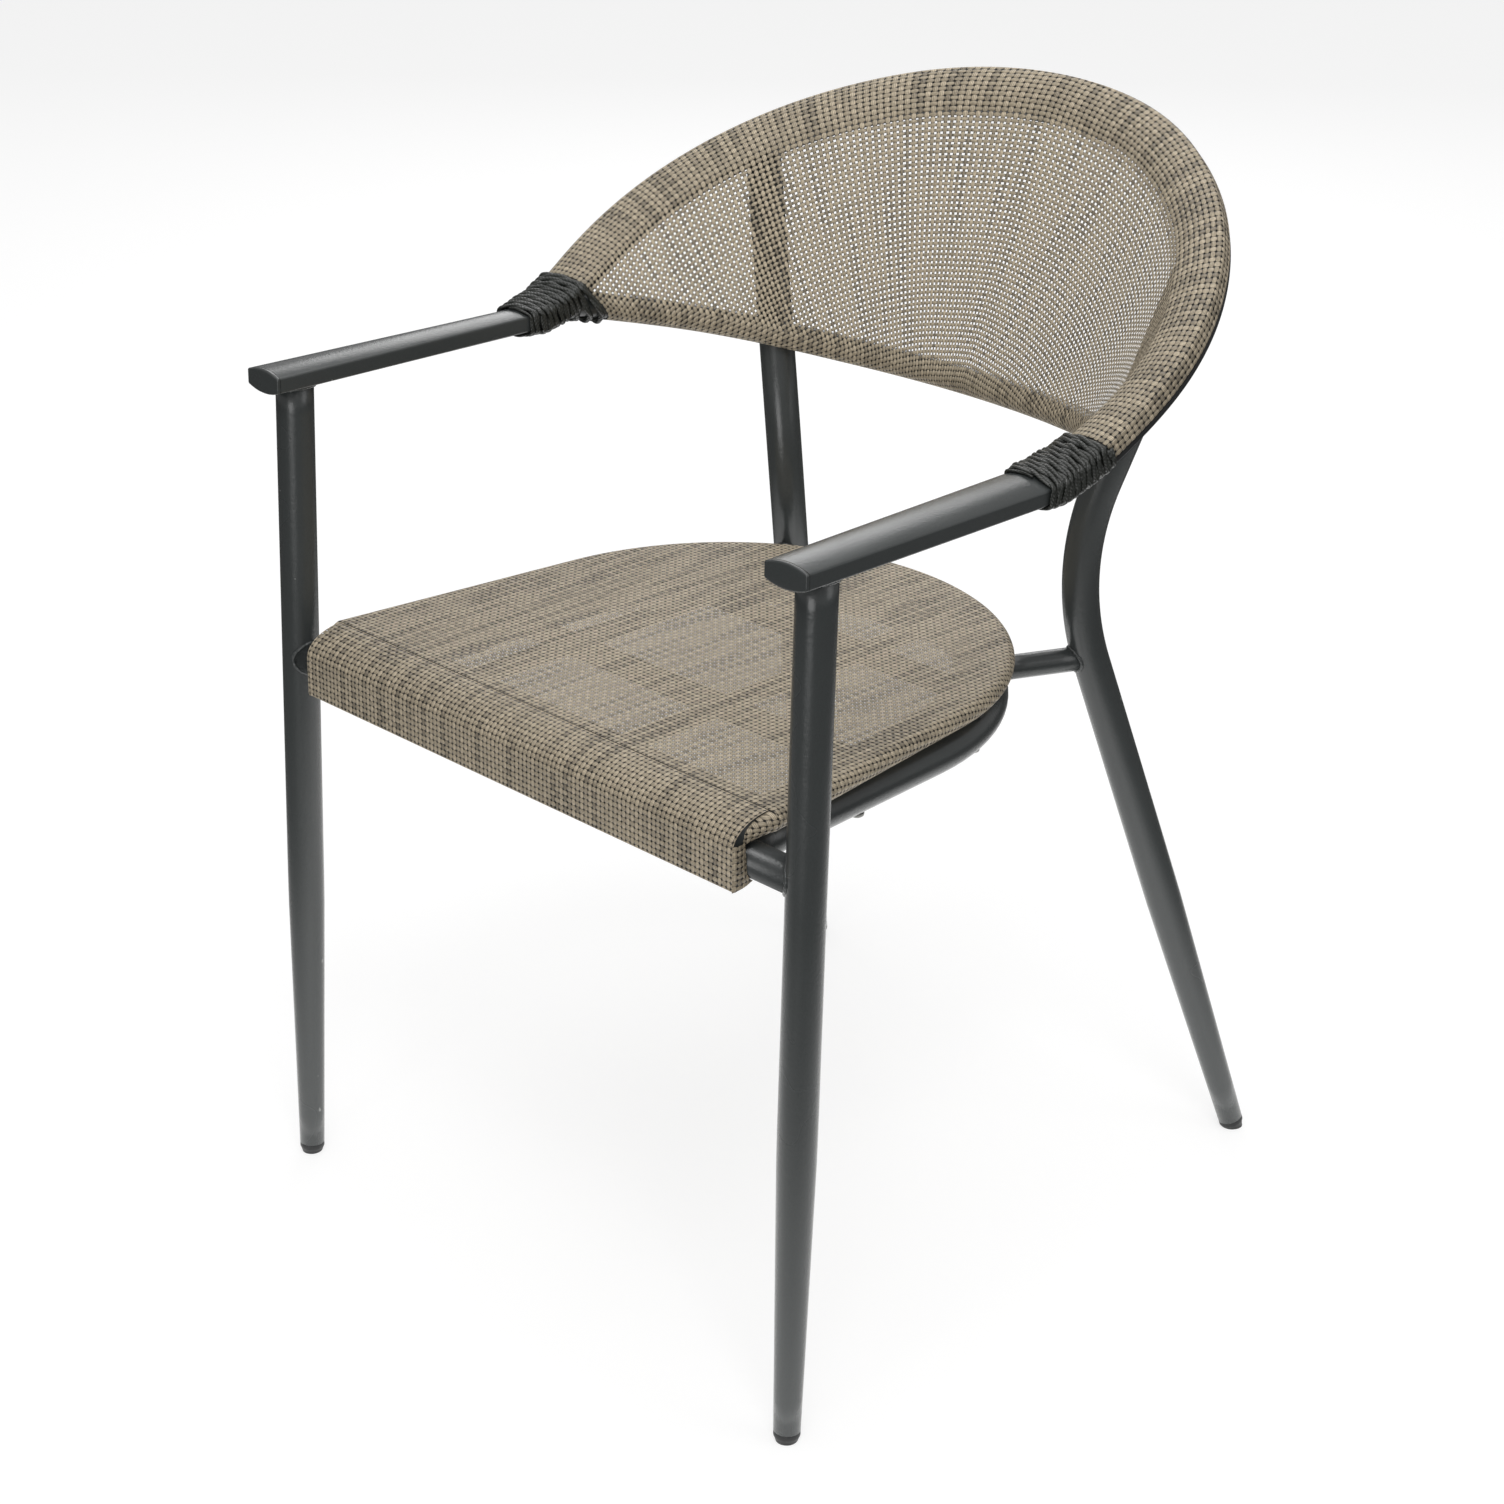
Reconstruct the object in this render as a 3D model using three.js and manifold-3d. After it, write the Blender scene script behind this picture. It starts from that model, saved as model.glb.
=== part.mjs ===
// Outdoor stacking armchair: a welded aluminium tube frame, a stretched woven mesh on the back
// and on the bolted seat pan, and a cord winding over each arm joint.
// Millimetres, +Z up, the chair faces -Y and is symmetric about X = 0. The left side is +X.
// Heights are above the floor, and Y = 0 runs through the front feet.

import * as THREE from 'three';
import { NURBSCurve } from 'three/addons/curves/NURBSCurve.js';
import { mergeVertices } from 'three/addons/utils/BufferGeometryUtils.js';
import Module from 'manifold-3d';

const wasm = await Module();
wasm.setup();

// Clearances
const gap = 0.3; // between pieces that touch
const overrun = 5; // how far a cutting tool runs past what it cuts

// Flat oval tube of the arms and the back hoop
const tubeHalfWidth = 18.3;
const tubeSideHalfHeight = 5.55;
const tubeCrown = 3.5;
const tubeEdgeRadius = 1.6;

// Arms
const armX = 264.8; // at the front
const armHeight = 652.8; // at the front
const armInset = 5.5; // how far in the arm's back end is from its front end
const armDrop = 7.5; // and how far below it
const armRoll = 0.12; // radians that the back end is rolled, its outer edge down
const armFront = 1;
const armBack = 231;
const armCapThickness = 3;

// Back hoop: after its start, the curve's control points are shares of its half span, reach and rise
const hoopLeadIn = 37; // start of the curve, in line with the arm
const hoopReach = 337.7;
const hoopRise = 150.5;
const hoopPointShares = [
  [1.014, 0.258, 0.118],
  [1.011, 0.444, 0.344],
  [0.904, 0.643, 0.597],
  [0.645, 0.866, 0.857],
  [0.279, 1, 1],
  [0, 1, 1],
];
const hoopKnotShares = [0, 0, 0, 0, 0.2, 0.4, 0.6, 0.8, 1, 1, 1, 1];
const hoopTwistAngles = [-armRoll, 0.42, 0.452, 0.846]; // radians, from arm to the middle of the back
const windingStations = 6; // rings of the half hoop under the winding
const backStations = 13; // and from there to the middle of the back

// Lower back rail: control points are shares of the arm's distance from the middle, reach and drop
const railRadius = 10;
const railReach = 244.9;
const railDrop = 52.3;
const railPointShares = [
  [0.933, 0.307, 0.128],
  [0.86, 0.469, 0.296],
  [0.739, 0.709, 0.593],
  [0.474, 0.949, 0.969],
  [0.178, 1, 1],
  [0, 1, 1],
];
const railKnotShares = [0, 0, 0, 0, 1 / 3, 2 / 3, 1, 1, 1, 1];
const railLeadIn = 22; // straight start that is coped onto the hoop
const railSides = 16;

// Legs
const legRadius = 14;
const footRadius = 9.8;
const taperLength = 230;
const frontFootX = 268.9;
const frontLegOut = 0.2; // of the leg's top past the arm's line
const frontLegLean = 30; // how far back the leg's top is from its foot
const rearFootX = 236.4;
const rearFootY = 554;
const rearKneeX = 144.9;
const rearKneeY = 419.9;
const rearKneeHeight = 500.4;
const rearBendRadius = 237;
const rearLegHoopShare = 0.65; // where along the hoop's half the rear leg ends
const legTopInset = 8;
const legSides = 16;
const bendSteps = 7;

// Foot glides
const glideHeight = 8;
const glideSoleRadius = 8.4;
const glideStemRadius = 5.5;
const glideStemLength = 14;
const glideBelow = 5;
const glideSides = 12;

// Tubes under the seat; the support follows the seat ring's plan
const crossTubeRadius = 12.5;
const crossTubeHeight = 432.5;
const supportRadius = 12.5;
const supportInset = 12; // at the front
const supportOverhang = 2.5; // at the back
const supportForward = 4;
const supportDrop = 26.5; // from the seat ring's centre plane
const braceRadius = 9.3;
const braceDrop = 28.5; // where it meets the rear leg, below the seat ring's centre plane
const braceLift = 3.5; // of its other end above the support's middle line
const braceAngleOnSupport = 0.908; // radians round the support's back, from +X

// Seat pan
const seatHeight = 461; // centre plane of the seat ring at Y = 0
const seatSlope = 0.02; // radians, down towards the back
const seatTubeHalfWidth = 15;
const seatTubeHalfThickness = 6.7;
const seatHalfFront = 218;
const seatFrontLine = 22; // where the half front width is measured
const seatBackRadius = 192;
const seatBackCentre = 216;
const seatArcSteps = 10;
const seatRimSteps = 6;
const noseFront = -4.7;
const noseBack = 42;
const noseDepth = 32;
const noseHeight = 19;
const skirtDrop = 40.7;
const skirtThickness = 9.6;
const noseOverhang = 5.2; // past the ring's middle line at the front
const slatThickness = 2.5;
const longSlatWidth = 25;
const longSlatShare = 0.361; // of the half front
const crossSlatWidth = 28;
const crossSlatPlaces = [132, 275];
const hemWidth = 30; // mesh turned in under the ring, measured from the ring's middle line

// Seat fasteners
const boltRadius = 3;
const boltClearance = 0.3;
const boltHeadRadius = 5.2;
const boltHeadHeight = 3.2;
const boltDepthInRing = 8;
const spacerRadius = 7;
const frontBoltY = 140;
const rearBoltAngle = 0.35; // radians round the support's back, from +X
const smallSides = 10;

// Woven mesh and its trim
const meshThickness = 0.9;
const meshSeat = 0.4; // between the mesh and the tubes under it
const stripWidth = 12;
const stripThickness = 3.6;
const stripInset = 2.6; // from the outer edge of the tube
const stripLip = 4; // how far the strip reaches past the mesh's edge

// Cord winding
const cordRadius = 2.3;
const cordPitch = 5.9;
const cordLoops = 11;
const cordJointCover = 1; // how far the first turn reaches over the end of the arm
const cordSteps = 24;
const cordSides = 6;
const cordSeat = 0.9; // between the cord and the tube, so that its straight steps clear the bends
const hullSamples = 72;

const up = new THREE.Vector3(0, 0, 1);
const halfTurn = Math.PI;
const fullTurn = 2 * Math.PI;
const quarterTurn = Math.PI / 2;
const solverTurns = 6;
const turnShare = 0.6; // of the cord's steps go to its bends, the others to its straights
const railSlantShare = 0.25; // of the way to the middle, where the rings have turned square to the rail

// Mesh helpers

function signedVolume(geometry) {
  const position = geometry.attributes.position;
  const index = geometry.index;
  const corners = [new THREE.Vector3(), new THREE.Vector3(), new THREE.Vector3()];
  let volume = 0;
  for (let i = 0; i < index.count; i += 3) {
    corners.forEach((corner, k) => corner.fromBufferAttribute(position, index.getX(i + k)));
    volume += corners[0].dot(corners[1].clone().cross(corners[2])) / 6;
  }
  return volume;
}

function flipped(geometry) {
  const index = geometry.index;
  for (let i = 0; i < index.count; i += 3) {
    const first = index.getX(i);
    index.setX(i, index.getX(i + 1));
    index.setX(i + 1, first);
  }
  return geometry;
}

function indexedBody(points, index) {
  const geometry = new THREE.BufferGeometry().setFromPoints(points);
  geometry.setIndex(index);
  return signedVolume(geometry) < 0 ? flipped(geometry) : geometry;
}

// A closed body through convex rings that all have the same number of points
function loft(rings) {
  const sides = rings[0].length;
  const points = rings.flat();
  const index = [];
  for (let row = 0; row + 1 < rings.length; row++) {
    for (let side = 0; side < sides; side++) {
      const a = row * sides + side;
      const b = row * sides + ((side + 1) % sides);
      index.push(a, b, b + sides, a, b + sides, a + sides);
    }
  }
  for (const row of [0, rings.length - 1]) {
    const middle = new THREE.Vector3();
    rings[row].forEach((point) => middle.addScaledVector(point, 1 / sides));
    points.push(middle);
    for (let side = 0; side < sides; side++) {
      const a = row * sides + side;
      const b = row * sides + ((side + 1) % sides);
      index.push(...(row === 0 ? [b, a] : [a, b]), points.length - 1);
    }
  }
  return indexedBody(points, index);
}

// A closed sheet between an outer and an inner grid of points
function sheet(outer, inner) {
  const rows = outer.length;
  const columns = outer[0].length;
  const points = [...outer.flat(), ...inner.flat()];
  const innerStart = rows * columns;
  const at = (row, column) => row * columns + column;
  const index = [];
  for (let row = 0; row + 1 < rows; row++) {
    for (let column = 0; column + 1 < columns; column++) {
      const a = at(row, column);
      const b = at(row, column + 1);
      const c = at(row + 1, column);
      const d = at(row + 1, column + 1);
      index.push(a, b, d, a, d, c);
      index.push(...[a, d, b, a, c, d].map((corner) => corner + innerStart));
    }
  }
  const rim = [];
  for (let column = 0; column + 1 < columns; column++) rim.push(at(0, column));
  for (let row = 0; row + 1 < rows; row++) rim.push(at(row, columns - 1));
  for (let column = columns - 1; column > 0; column--) rim.push(at(rows - 1, column));
  for (let row = rows - 1; row > 0; row--) rim.push(at(row, 0));
  rim.forEach((from, k) => {
    const to = rim[(k + 1) % rim.length];
    index.push(to, from, from + innerStart, to, from + innerStart, to + innerStart);
  });
  return indexedBody(points, index);
}

function toSolid(geometry) {
  const plain = geometry.clone();
  plain.deleteAttribute('normal');
  plain.deleteAttribute('uv');
  const merged = mergeVertices(plain);
  return new wasm.Manifold(new wasm.Mesh({
    numProp: 3,
    vertProperties: Float32Array.from(merged.attributes.position.array),
    triVerts: Uint32Array.from(merged.index.array),
  }));
}

function fromSolid(solid) {
  const mesh = solid.getMesh();
  const geometry = new THREE.BufferGeometry();
  geometry.setAttribute('position', new THREE.BufferAttribute(Float32Array.from(mesh.vertProperties), 3));
  geometry.setIndex(new THREE.BufferAttribute(Uint32Array.from(mesh.triVerts), 1));
  return geometry;
}

function cut(geometry, ...tools) {
  let solid = toSolid(geometry);
  for (const tool of tools) solid = solid.subtract(toSolid(tool));
  return fromSolid(solid);
}

function joined(...geometries) {
  let solid = toSolid(geometries[0]);
  for (const geometry of geometries.slice(1)) solid = solid.add(toSolid(geometry));
  return fromSolid(solid);
}

function mirrored(geometry) {
  return flipped(geometry.clone().scale(-1, 1, 1));
}

// A box between two corners
function block(low, high) {
  const size = new THREE.Vector3().subVectors(high, low);
  const middle = new THREE.Vector3().addVectors(low, high).multiplyScalar(0.5);
  return new THREE.BoxGeometry(size.x, size.y, size.z).translate(middle.x, middle.y, middle.z);
}

// The turn that takes a cylinder's or lathe's axis to a direction
function turnFromUp(direction) {
  return new THREE.Quaternion().setFromUnitVectors(new THREE.Vector3(0, 1, 0), direction.clone().normalize());
}

// A round bar between two points
function bar(from, to, radius, sides) {
  const along = new THREE.Vector3().subVectors(to, from);
  const turn = turnFromUp(along);
  const middle = new THREE.Vector3().addVectors(from, to).multiplyScalar(0.5);
  const geometry = new THREE.CylinderGeometry(radius, radius, along.length(), sides);
  return geometry.applyQuaternion(turn).translate(middle.x, middle.y, middle.z);
}

// An upright round bar in plan, between two heights
function upright(x, y, low, high, radius) {
  return bar(new THREE.Vector3(x, y, low), new THREE.Vector3(x, y, high), radius, smallSides);
}

// Flat oval tube section

const crownRadius = (tubeHalfWidth ** 2 + tubeCrown ** 2) / (2 * tubeCrown);
const crownCentre = tubeSideHalfHeight + tubeCrown - crownRadius;
const coreHalfWidth = tubeHalfWidth - tubeEdgeRadius;
const coreCrownRadius = crownRadius - tubeEdgeRadius;
const coreCorner = crownCentre + Math.sqrt(coreCrownRadius ** 2 - coreHalfWidth ** 2);
const tubeHalfHeight = tubeSideHalfHeight + tubeCrown;

// The section's point whose outward normal has this angle, moved out by offset
function ovalPoint(angle, offset) {
  const normal = new THREE.Vector2(Math.cos(angle), Math.sin(angle));
  const core = new THREE.Vector2(Math.sign(normal.x) * coreHalfWidth, Math.sign(normal.y) * coreCorner);
  if (Math.abs(normal.x) < coreHalfWidth / coreCrownRadius) {
    core.copy(normal).multiplyScalar(coreCrownRadius);
    core.y += Math.sign(normal.y) * crownCentre;
  }
  return core.addScaledVector(normal, tubeEdgeRadius + offset);
}

const ovalQuarterAngles = [0.1, 0.6, 1.12, 1.36];

function ovalAngles() {
  const fall = ovalQuarterAngles.map((angle) => halfTurn - angle).reverse();
  const upper = [...ovalQuarterAngles, quarterTurn, ...fall];
  return [...upper, ...upper.map((angle) => angle + halfTurn)];
}

function placed(frame, across, thick) {
  return frame.origin.clone().addScaledVector(frame.wide, across).addScaledVector(frame.face, thick);
}

function ovalRing(frame, offset) {
  return ovalAngles().map((angle) => {
    const point = ovalPoint(angle, offset);
    return placed(frame, point.x, point.y);
  });
}

// Directions of the flat tube at a place, turned about its length by twist
function tubeFrame(origin, along, twist) {
  const rise = up.clone().addScaledVector(along, -along.z).normalize();
  const level = along.clone().cross(rise);
  const wide = level.multiplyScalar(Math.cos(twist)).addScaledVector(rise, Math.sin(twist));
  return { origin, along, wide, face: wide.clone().cross(along) };
}

// Arms

const armStart = new THREE.Vector3(armX, armFront, armHeight);
const armEnd = new THREE.Vector3(armX - armInset, armBack, armHeight - armDrop);
const armAlong = armEnd.clone().sub(armStart).normalize();

function armFrame(y) {
  const share = (y - armFront) / (armBack - armFront);
  return tubeFrame(armStart.clone().lerp(armEnd, share), armAlong, -armRoll * share);
}

function armBody(offset) {
  const from = armFront + armCapThickness + gap - offset;
  return loft([from, armBack - gap + offset].map((y) => ovalRing(armFrame(y), offset)));
}

function armCap() {
  return loft([armFront, armFront + armCapThickness].map((y) => ovalRing(armFrame(y), 0)));
}

// Back hoop

function sharePoints(pointShares, reach, rise) {
  return pointShares.map(([x, y, z]) => (
    new THREE.Vector3(x * armX, armBack + y * reach, armHeight + z * rise)));
}

function smoothCurve(points, knotShares) {
  return new NURBSCurve(3, knotShares, points.map(({ x, y, z }) => new THREE.Vector4(x, y, z, 1)));
}

const hoopStart = [armEnd, armEnd.clone().addScaledVector(armAlong, hoopLeadIn)];
const hoopPoints = [...hoopStart, ...sharePoints(hoopPointShares, hoopReach, hoopRise)];
const hoopCurve = smoothCurve(hoopPoints, hoopKnotShares);
const railCurve = smoothCurve(sharePoints(railPointShares, railReach, -railDrop), railKnotShares);

function hoopTwist(t) {
  const [a, b, c, d] = hoopTwistAngles;
  const s = 1 - t;
  return a * s ** 3 + 3 * b * s * s * t + 3 * c * s * t * t + d * t ** 3;
}

// Place and directions of the tube at t, on the +X half: 0 at the arm, 1 in the middle of the back
function hoopFrame(t) {
  return tubeFrame(hoopCurve.getPoint(t), hoopCurve.getTangent(t), hoopTwist(t));
}

function mirroredPoint(point) {
  return new THREE.Vector3(-point.x, point.y, point.z);
}

// Rows of points from the +X end over the middle to the -X end
function bothHalves(rows) {
  const other = rows.slice(0, -1).map((row) => row.map(mirroredPoint)).reverse();
  return [...rows, ...other];
}

function steps(from, to, count) {
  return Array.from({ length: count + 1 }, (unused, k) => from + ((to - from) * k) / count);
}

// Where the mesh starts on the hoop, just past the cord winding
const cordStart = cordRadius - cordJointCover;
const cordEnd = cordStart + cordLoops * cordPitch;
const hoopHalfLength = hoopCurve.getLength();
const meshStart = hoopCurve.getUtoTmapping((cordEnd + cordRadius + 2 * gap) / hoopHalfLength);

// Tube, mesh and edge strip share their stations, so that their facets run side by side
const meshPlaces = steps(meshStart, 1, backStations);
const hoopPlaces = [...steps(0, meshStart, windingStations).slice(0, -1), ...meshPlaces];

function hoopBody(offset) {
  return loft(bothHalves(hoopPlaces.map((t) => ovalRing(hoopFrame(t), offset))));
}

// Lower back rail

const railHalfLength = railCurve.getLength();

// The middle line at a distance from the curve's start, straight ahead of it
function railAt(distance) {
  const share = Math.max(0, distance) / railHalfLength;
  const along = railCurve.getTangentAt(share);
  return { point: railCurve.getPointAt(share).addScaledVector(along, Math.min(0, distance)), along };
}

// The distance at which the middle line crosses the plane of a hoop section
function railCrossing(frame) {
  let distance = 0;
  for (let turn = 0; turn < solverTurns; turn++) {
    const { point, along } = railAt(distance);
    distance -= point.sub(frame.origin).dot(frame.along) / along.dot(frame.along);
  }
  return distance;
}

// A ring round the rail opposite the hoop's place t, at the given angles: 0 faces the sitter.
// The first rings lie in the hoop's section, where the winding ends, and the others square to the rail.
function railRing(t, angles, offset) {
  const frame = hoopFrame(t);
  const share = (t - meshStart) / (1 - meshStart);
  const first = railCrossing(hoopFrame(meshStart));
  const distance = first + (railHalfLength - first) * share;
  const { point, along } = railAt(distance);
  const front = frame.origin.clone().sub(point).normalize().cross(along).normalize();
  const down = front.clone().cross(along);
  const slant = Math.max(0, 1 - share / railSlantShare) / along.dot(frame.along);
  return angles.map((angle) => {
    const spoke = front.clone().multiplyScalar(Math.cos(angle)).addScaledVector(down, Math.sin(angle));
    spoke.multiplyScalar(railRadius + offset);
    return railAt(distance - slant * spoke.dot(frame.along)).point.add(spoke);
  });
}

const railAngles = steps(0, fullTurn, railSides).slice(0, -1);

function railBody(offset) {
  const rows = meshPlaces.map((t) => railRing(t, railAngles, offset));
  const shift = railAt(-railLeadIn - offset).point.sub(railAt(railCrossing(hoopFrame(meshStart))).point);
  const start = rows[0].map((point) => point.clone().add(shift));
  return loft(bothHalves([start, ...rows]));
}

// Legs

function legRadiusAt(distance) {
  const share = Math.min(1, Math.max(0, (distance - glideHeight) / (taperLength - glideHeight)));
  return footRadius + (legRadius - footRadius) * share;
}

// Rings along a line of points, with the leg's taper; side keeps the rings from turning
function legRings(points, offset) {
  const side = new THREE.Vector3(1, 0, 0);
  let distance = glideHeight + gap;
  return points.map((point, k) => {
    const before = points[Math.max(0, k - 1)];
    const after = points[Math.min(points.length - 1, k + 1)];
    const along = new THREE.Vector3().subVectors(after, before).normalize();
    const first = side.clone().addScaledVector(along, -side.dot(along)).normalize();
    const second = along.clone().cross(first);
    distance += k > 0 ? point.distanceTo(before) : 0;
    const radius = legRadiusAt(distance) + offset;
    return steps(0, fullTurn, legSides).slice(0, -1).map((angle) => (
      point.clone().addScaledVector(first, radius * Math.cos(angle))
        .addScaledVector(second, radius * Math.sin(angle))));
  });
}

const frontFoot = new THREE.Vector3(frontFootX, 0, 0);
const frontLegTop = new THREE.Vector3(armX + frontLegOut, frontLegLean, armFrame(frontLegLean).origin.z);
const crossTubeEnd = frontFoot.clone().lerp(frontLegTop, crossTubeHeight / frontLegTop.z);

function alongLine(from, to, distance) {
  return to.clone().sub(from).setLength(distance).add(from);
}

function frontLegBody(offset) {
  const start = alongLine(frontFoot, frontLegTop, glideHeight + gap - offset);
  const taperEnd = alongLine(frontFoot, frontLegTop, taperLength);
  return loft(legRings([start, taperEnd, frontLegTop], offset));
}

const rearFoot = new THREE.Vector3(rearFootX, rearFootY, 0);
const rearKnee = new THREE.Vector3(rearKneeX, rearKneeY, rearKneeHeight);

// The rear leg's middle line: straight, one round bend, straight
function rearLegLine(startDistance, overTop) {
  const top = hoopFrame(rearLegHoopShare).origin;
  const down = rearFoot.clone().sub(rearKnee).normalize();
  const rise = top.clone().sub(rearKnee).normalize();
  const halfAngle = down.angleTo(rise) / 2;
  const setback = rearBendRadius / Math.tan(halfAngle);
  const bendStart = rearKnee.clone().addScaledVector(down, setback);
  const bendEnd = rearKnee.clone().addScaledVector(rise, setback);
  const toCentre = down.clone().add(rise).setLength(rearBendRadius / Math.sin(halfAngle));
  const centre = rearKnee.clone().add(toCentre);
  const axis = bendStart.clone().sub(centre).cross(bendEnd.clone().sub(centre)).normalize();
  const sweep = bendStart.clone().sub(centre).angleTo(bendEnd.clone().sub(centre));
  const points = [alongLine(rearFoot, rearKnee, startDistance), alongLine(rearFoot, rearKnee, taperLength)];
  for (const angle of steps(0, sweep, bendSteps)) {
    points.push(bendStart.clone().sub(centre).applyAxisAngle(axis, angle).add(centre));
  }
  points.push(alongLine(top, rearKnee, legTopInset - overTop));
  return points;
}

function rearLegBody(offset) {
  return loft(legRings(rearLegLine(glideHeight + gap - offset, offset), offset));
}

function pointAtHeight(points, height) {
  const k = points.findIndex((point) => point.z > height);
  const low = points[k - 1];
  const high = points[k];
  return low.clone().lerp(high, (height - low.z) / (high.z - low.z));
}

// Foot glides: a plug on the leg's axis with a sole cut level with the floor

function glideTools(foot, toward) {
  const turn = turnFromUp(toward.clone().sub(foot));
  const place = (geometry) => geometry.applyQuaternion(turn).translate(foot.x, foot.y, foot.z);
  const shoulder = footRadius - gap;
  const outline = [
    [0, -glideBelow],
    [glideSoleRadius, -glideBelow],
    [glideSoleRadius, 0],
    [shoulder, glideHeight / 2],
    [shoulder, glideHeight],
    [glideStemRadius, glideHeight],
    [glideStemRadius, glideHeight + glideStemLength],
    [0, glideHeight + glideStemLength],
  ].map(([radius, height]) => new THREE.Vector2(radius, height));
  const plug = place(new THREE.LatheGeometry(outline, glideSides));
  const boreLength = glideStemLength + overrun + gap;
  const boreRadius = glideStemRadius + gap;
  const bore = new THREE.CylinderGeometry(boreRadius, boreRadius, boreLength, glideSides);
  const boreMiddle = glideHeight + glideStemLength + gap - boreLength / 2;
  const reach = glideHeight + footRadius;
  const floor = block(
    new THREE.Vector3(foot.x - reach, foot.y - reach, -reach),
    new THREE.Vector3(foot.x + reach, foot.y + reach, 0),
  );
  return { glide: cut(plug, floor), bore: place(bore.translate(0, boreMiddle, 0)) };
}

// Horseshoe plans of the seat ring and of its support

function horseshoe(halfFront, front, radius, centre) {
  const toCentre = new THREE.Vector2(-halfFront, centre - front);
  const heading = toCentre.angle() - Math.asin(radius / toCentre.length());
  const reach = Math.sqrt(toCentre.lengthSq() - radius ** 2);
  const corner = new THREE.Vector2(halfFront, front);
  const side = new THREE.Vector2(Math.cos(heading), Math.sin(heading));
  const tangent = corner.clone().addScaledVector(side, reach);
  const startAngle = Math.atan2(tangent.y - centre, tangent.x);
  const points = [{ point: corner, outward: new THREE.Vector2(side.y, -side.x) }];
  for (const angle of steps(startAngle, quarterTurn, seatArcSteps)) {
    const outward = new THREE.Vector2(Math.cos(angle), Math.sin(angle));
    points.push({ point: outward.clone().multiplyScalar(radius).add(new THREE.Vector2(0, centre)), outward });
  }
  return points;
}

function planPoint(station, across, height) {
  const place = station.point.clone().addScaledVector(station.outward, across);
  return new THREE.Vector3(place.x, place.y, height);
}

// A horseshoe tube; section gives the point for a normal's angle as a distance across and a height
function horseshoeTube(stations, section, height) {
  return loft(bothHalves(stations.map((station) => (
    section.map((point) => planPoint(station, point.x, height + point.y))))));
}

function roundAngles(sides) {
  return steps(0, fullTurn, sides).slice(0, -1).map((angle) => angle + halfTurn / sides);
}

const seatRoundCentre = seatTubeHalfWidth - seatTubeHalfThickness;

const seatRimAngles = steps(-quarterTurn, quarterTurn, seatRimSteps);

// The flat oval of the seat ring, with half-round sides
function seatTubeSection(offset) {
  const radius = seatTubeHalfThickness + offset;
  const rim = seatRimAngles.map((angle) => (
    new THREE.Vector2(seatRoundCentre + radius * Math.cos(angle), radius * Math.sin(angle))));
  return [...rim, ...rim.map((point) => new THREE.Vector2(-point.x, point.y)).reverse()];
}

// The seat pan and its support are modelled level, with z = 0 on the ring's centre plane

const seatStations = horseshoe(seatHalfFront, seatFrontLine, seatBackRadius, seatBackCentre);
const noseHalfLength = seatHalfFront + noseOverhang;
const longSlatX = seatHalfFront * longSlatShare;
const supportHalfFront = seatHalfFront - supportInset;
const supportBackRadius = seatBackRadius + supportOverhang;
const supportBackCentre = seatBackCentre - supportForward;
const supportStations = horseshoe(supportHalfFront, crossTubeEnd.y, supportBackRadius, supportBackCentre);

const seatGroup = new THREE.Group();
seatGroup.position.z = seatHeight;
seatGroup.rotation.x = -seatSlope;
seatGroup.updateMatrixWorld(true);
const toSeat = seatGroup.matrixWorld.clone().invert();

function seatRingBody(offset) {
  return horseshoeTube(seatStations, seatTubeSection(offset), 0);
}

function supportBody(offset) {
  const radius = supportRadius + offset;
  const section = roundAngles(legSides).map((angle) => (
    new THREE.Vector2(radius * Math.cos(angle), radius * Math.sin(angle))));
  return horseshoeTube(supportStations, section, -supportDrop);
}

// Bolt places on the support's middle line, in plan
function boltPlaces() {
  const front = supportStations[0].point;
  const tangent = supportStations[1].point;
  const share = (frontBoltY - front.y) / (tangent.y - front.y);
  const frontPlace = front.clone().lerp(tangent, share);
  const rearPlace = new THREE.Vector2(Math.cos(rearBoltAngle), Math.sin(rearBoltAngle))
    .multiplyScalar(supportBackRadius).add(new THREE.Vector2(0, supportBackCentre));
  return { front: frontPlace, rear: rearPlace };
}

const bolts = boltPlaces();
const boltSides = [['left', 1], ['right', -1]];

function boltTools(radius, low, high) {
  const tools = [];
  for (const place of Object.values(bolts)) {
    for (const [, side] of boltSides) tools.push(upright(side * place.x, place.y, low, high, radius));
  }
  return tools;
}

const holeRadius = boltRadius + boltClearance;
const supportTop = -supportDrop + supportRadius;
const supportBottom = -supportDrop - supportRadius;
const ringBottom = -seatTubeHalfThickness;
const boltTop = ringBottom + boltDepthInRing;
const meshOutside = meshSeat + meshThickness;

function seatRing() {
  const reach = seatHalfFront + seatTubeHalfWidth + overrun;
  const front = block(
    new THREE.Vector3(-reach, -reach, -reach),
    new THREE.Vector3(reach, noseBack + gap, reach),
  );
  return cut(seatRingBody(0), front, ...boltTools(holeRadius, ringBottom - overrun, boltTop + gap));
}

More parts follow.
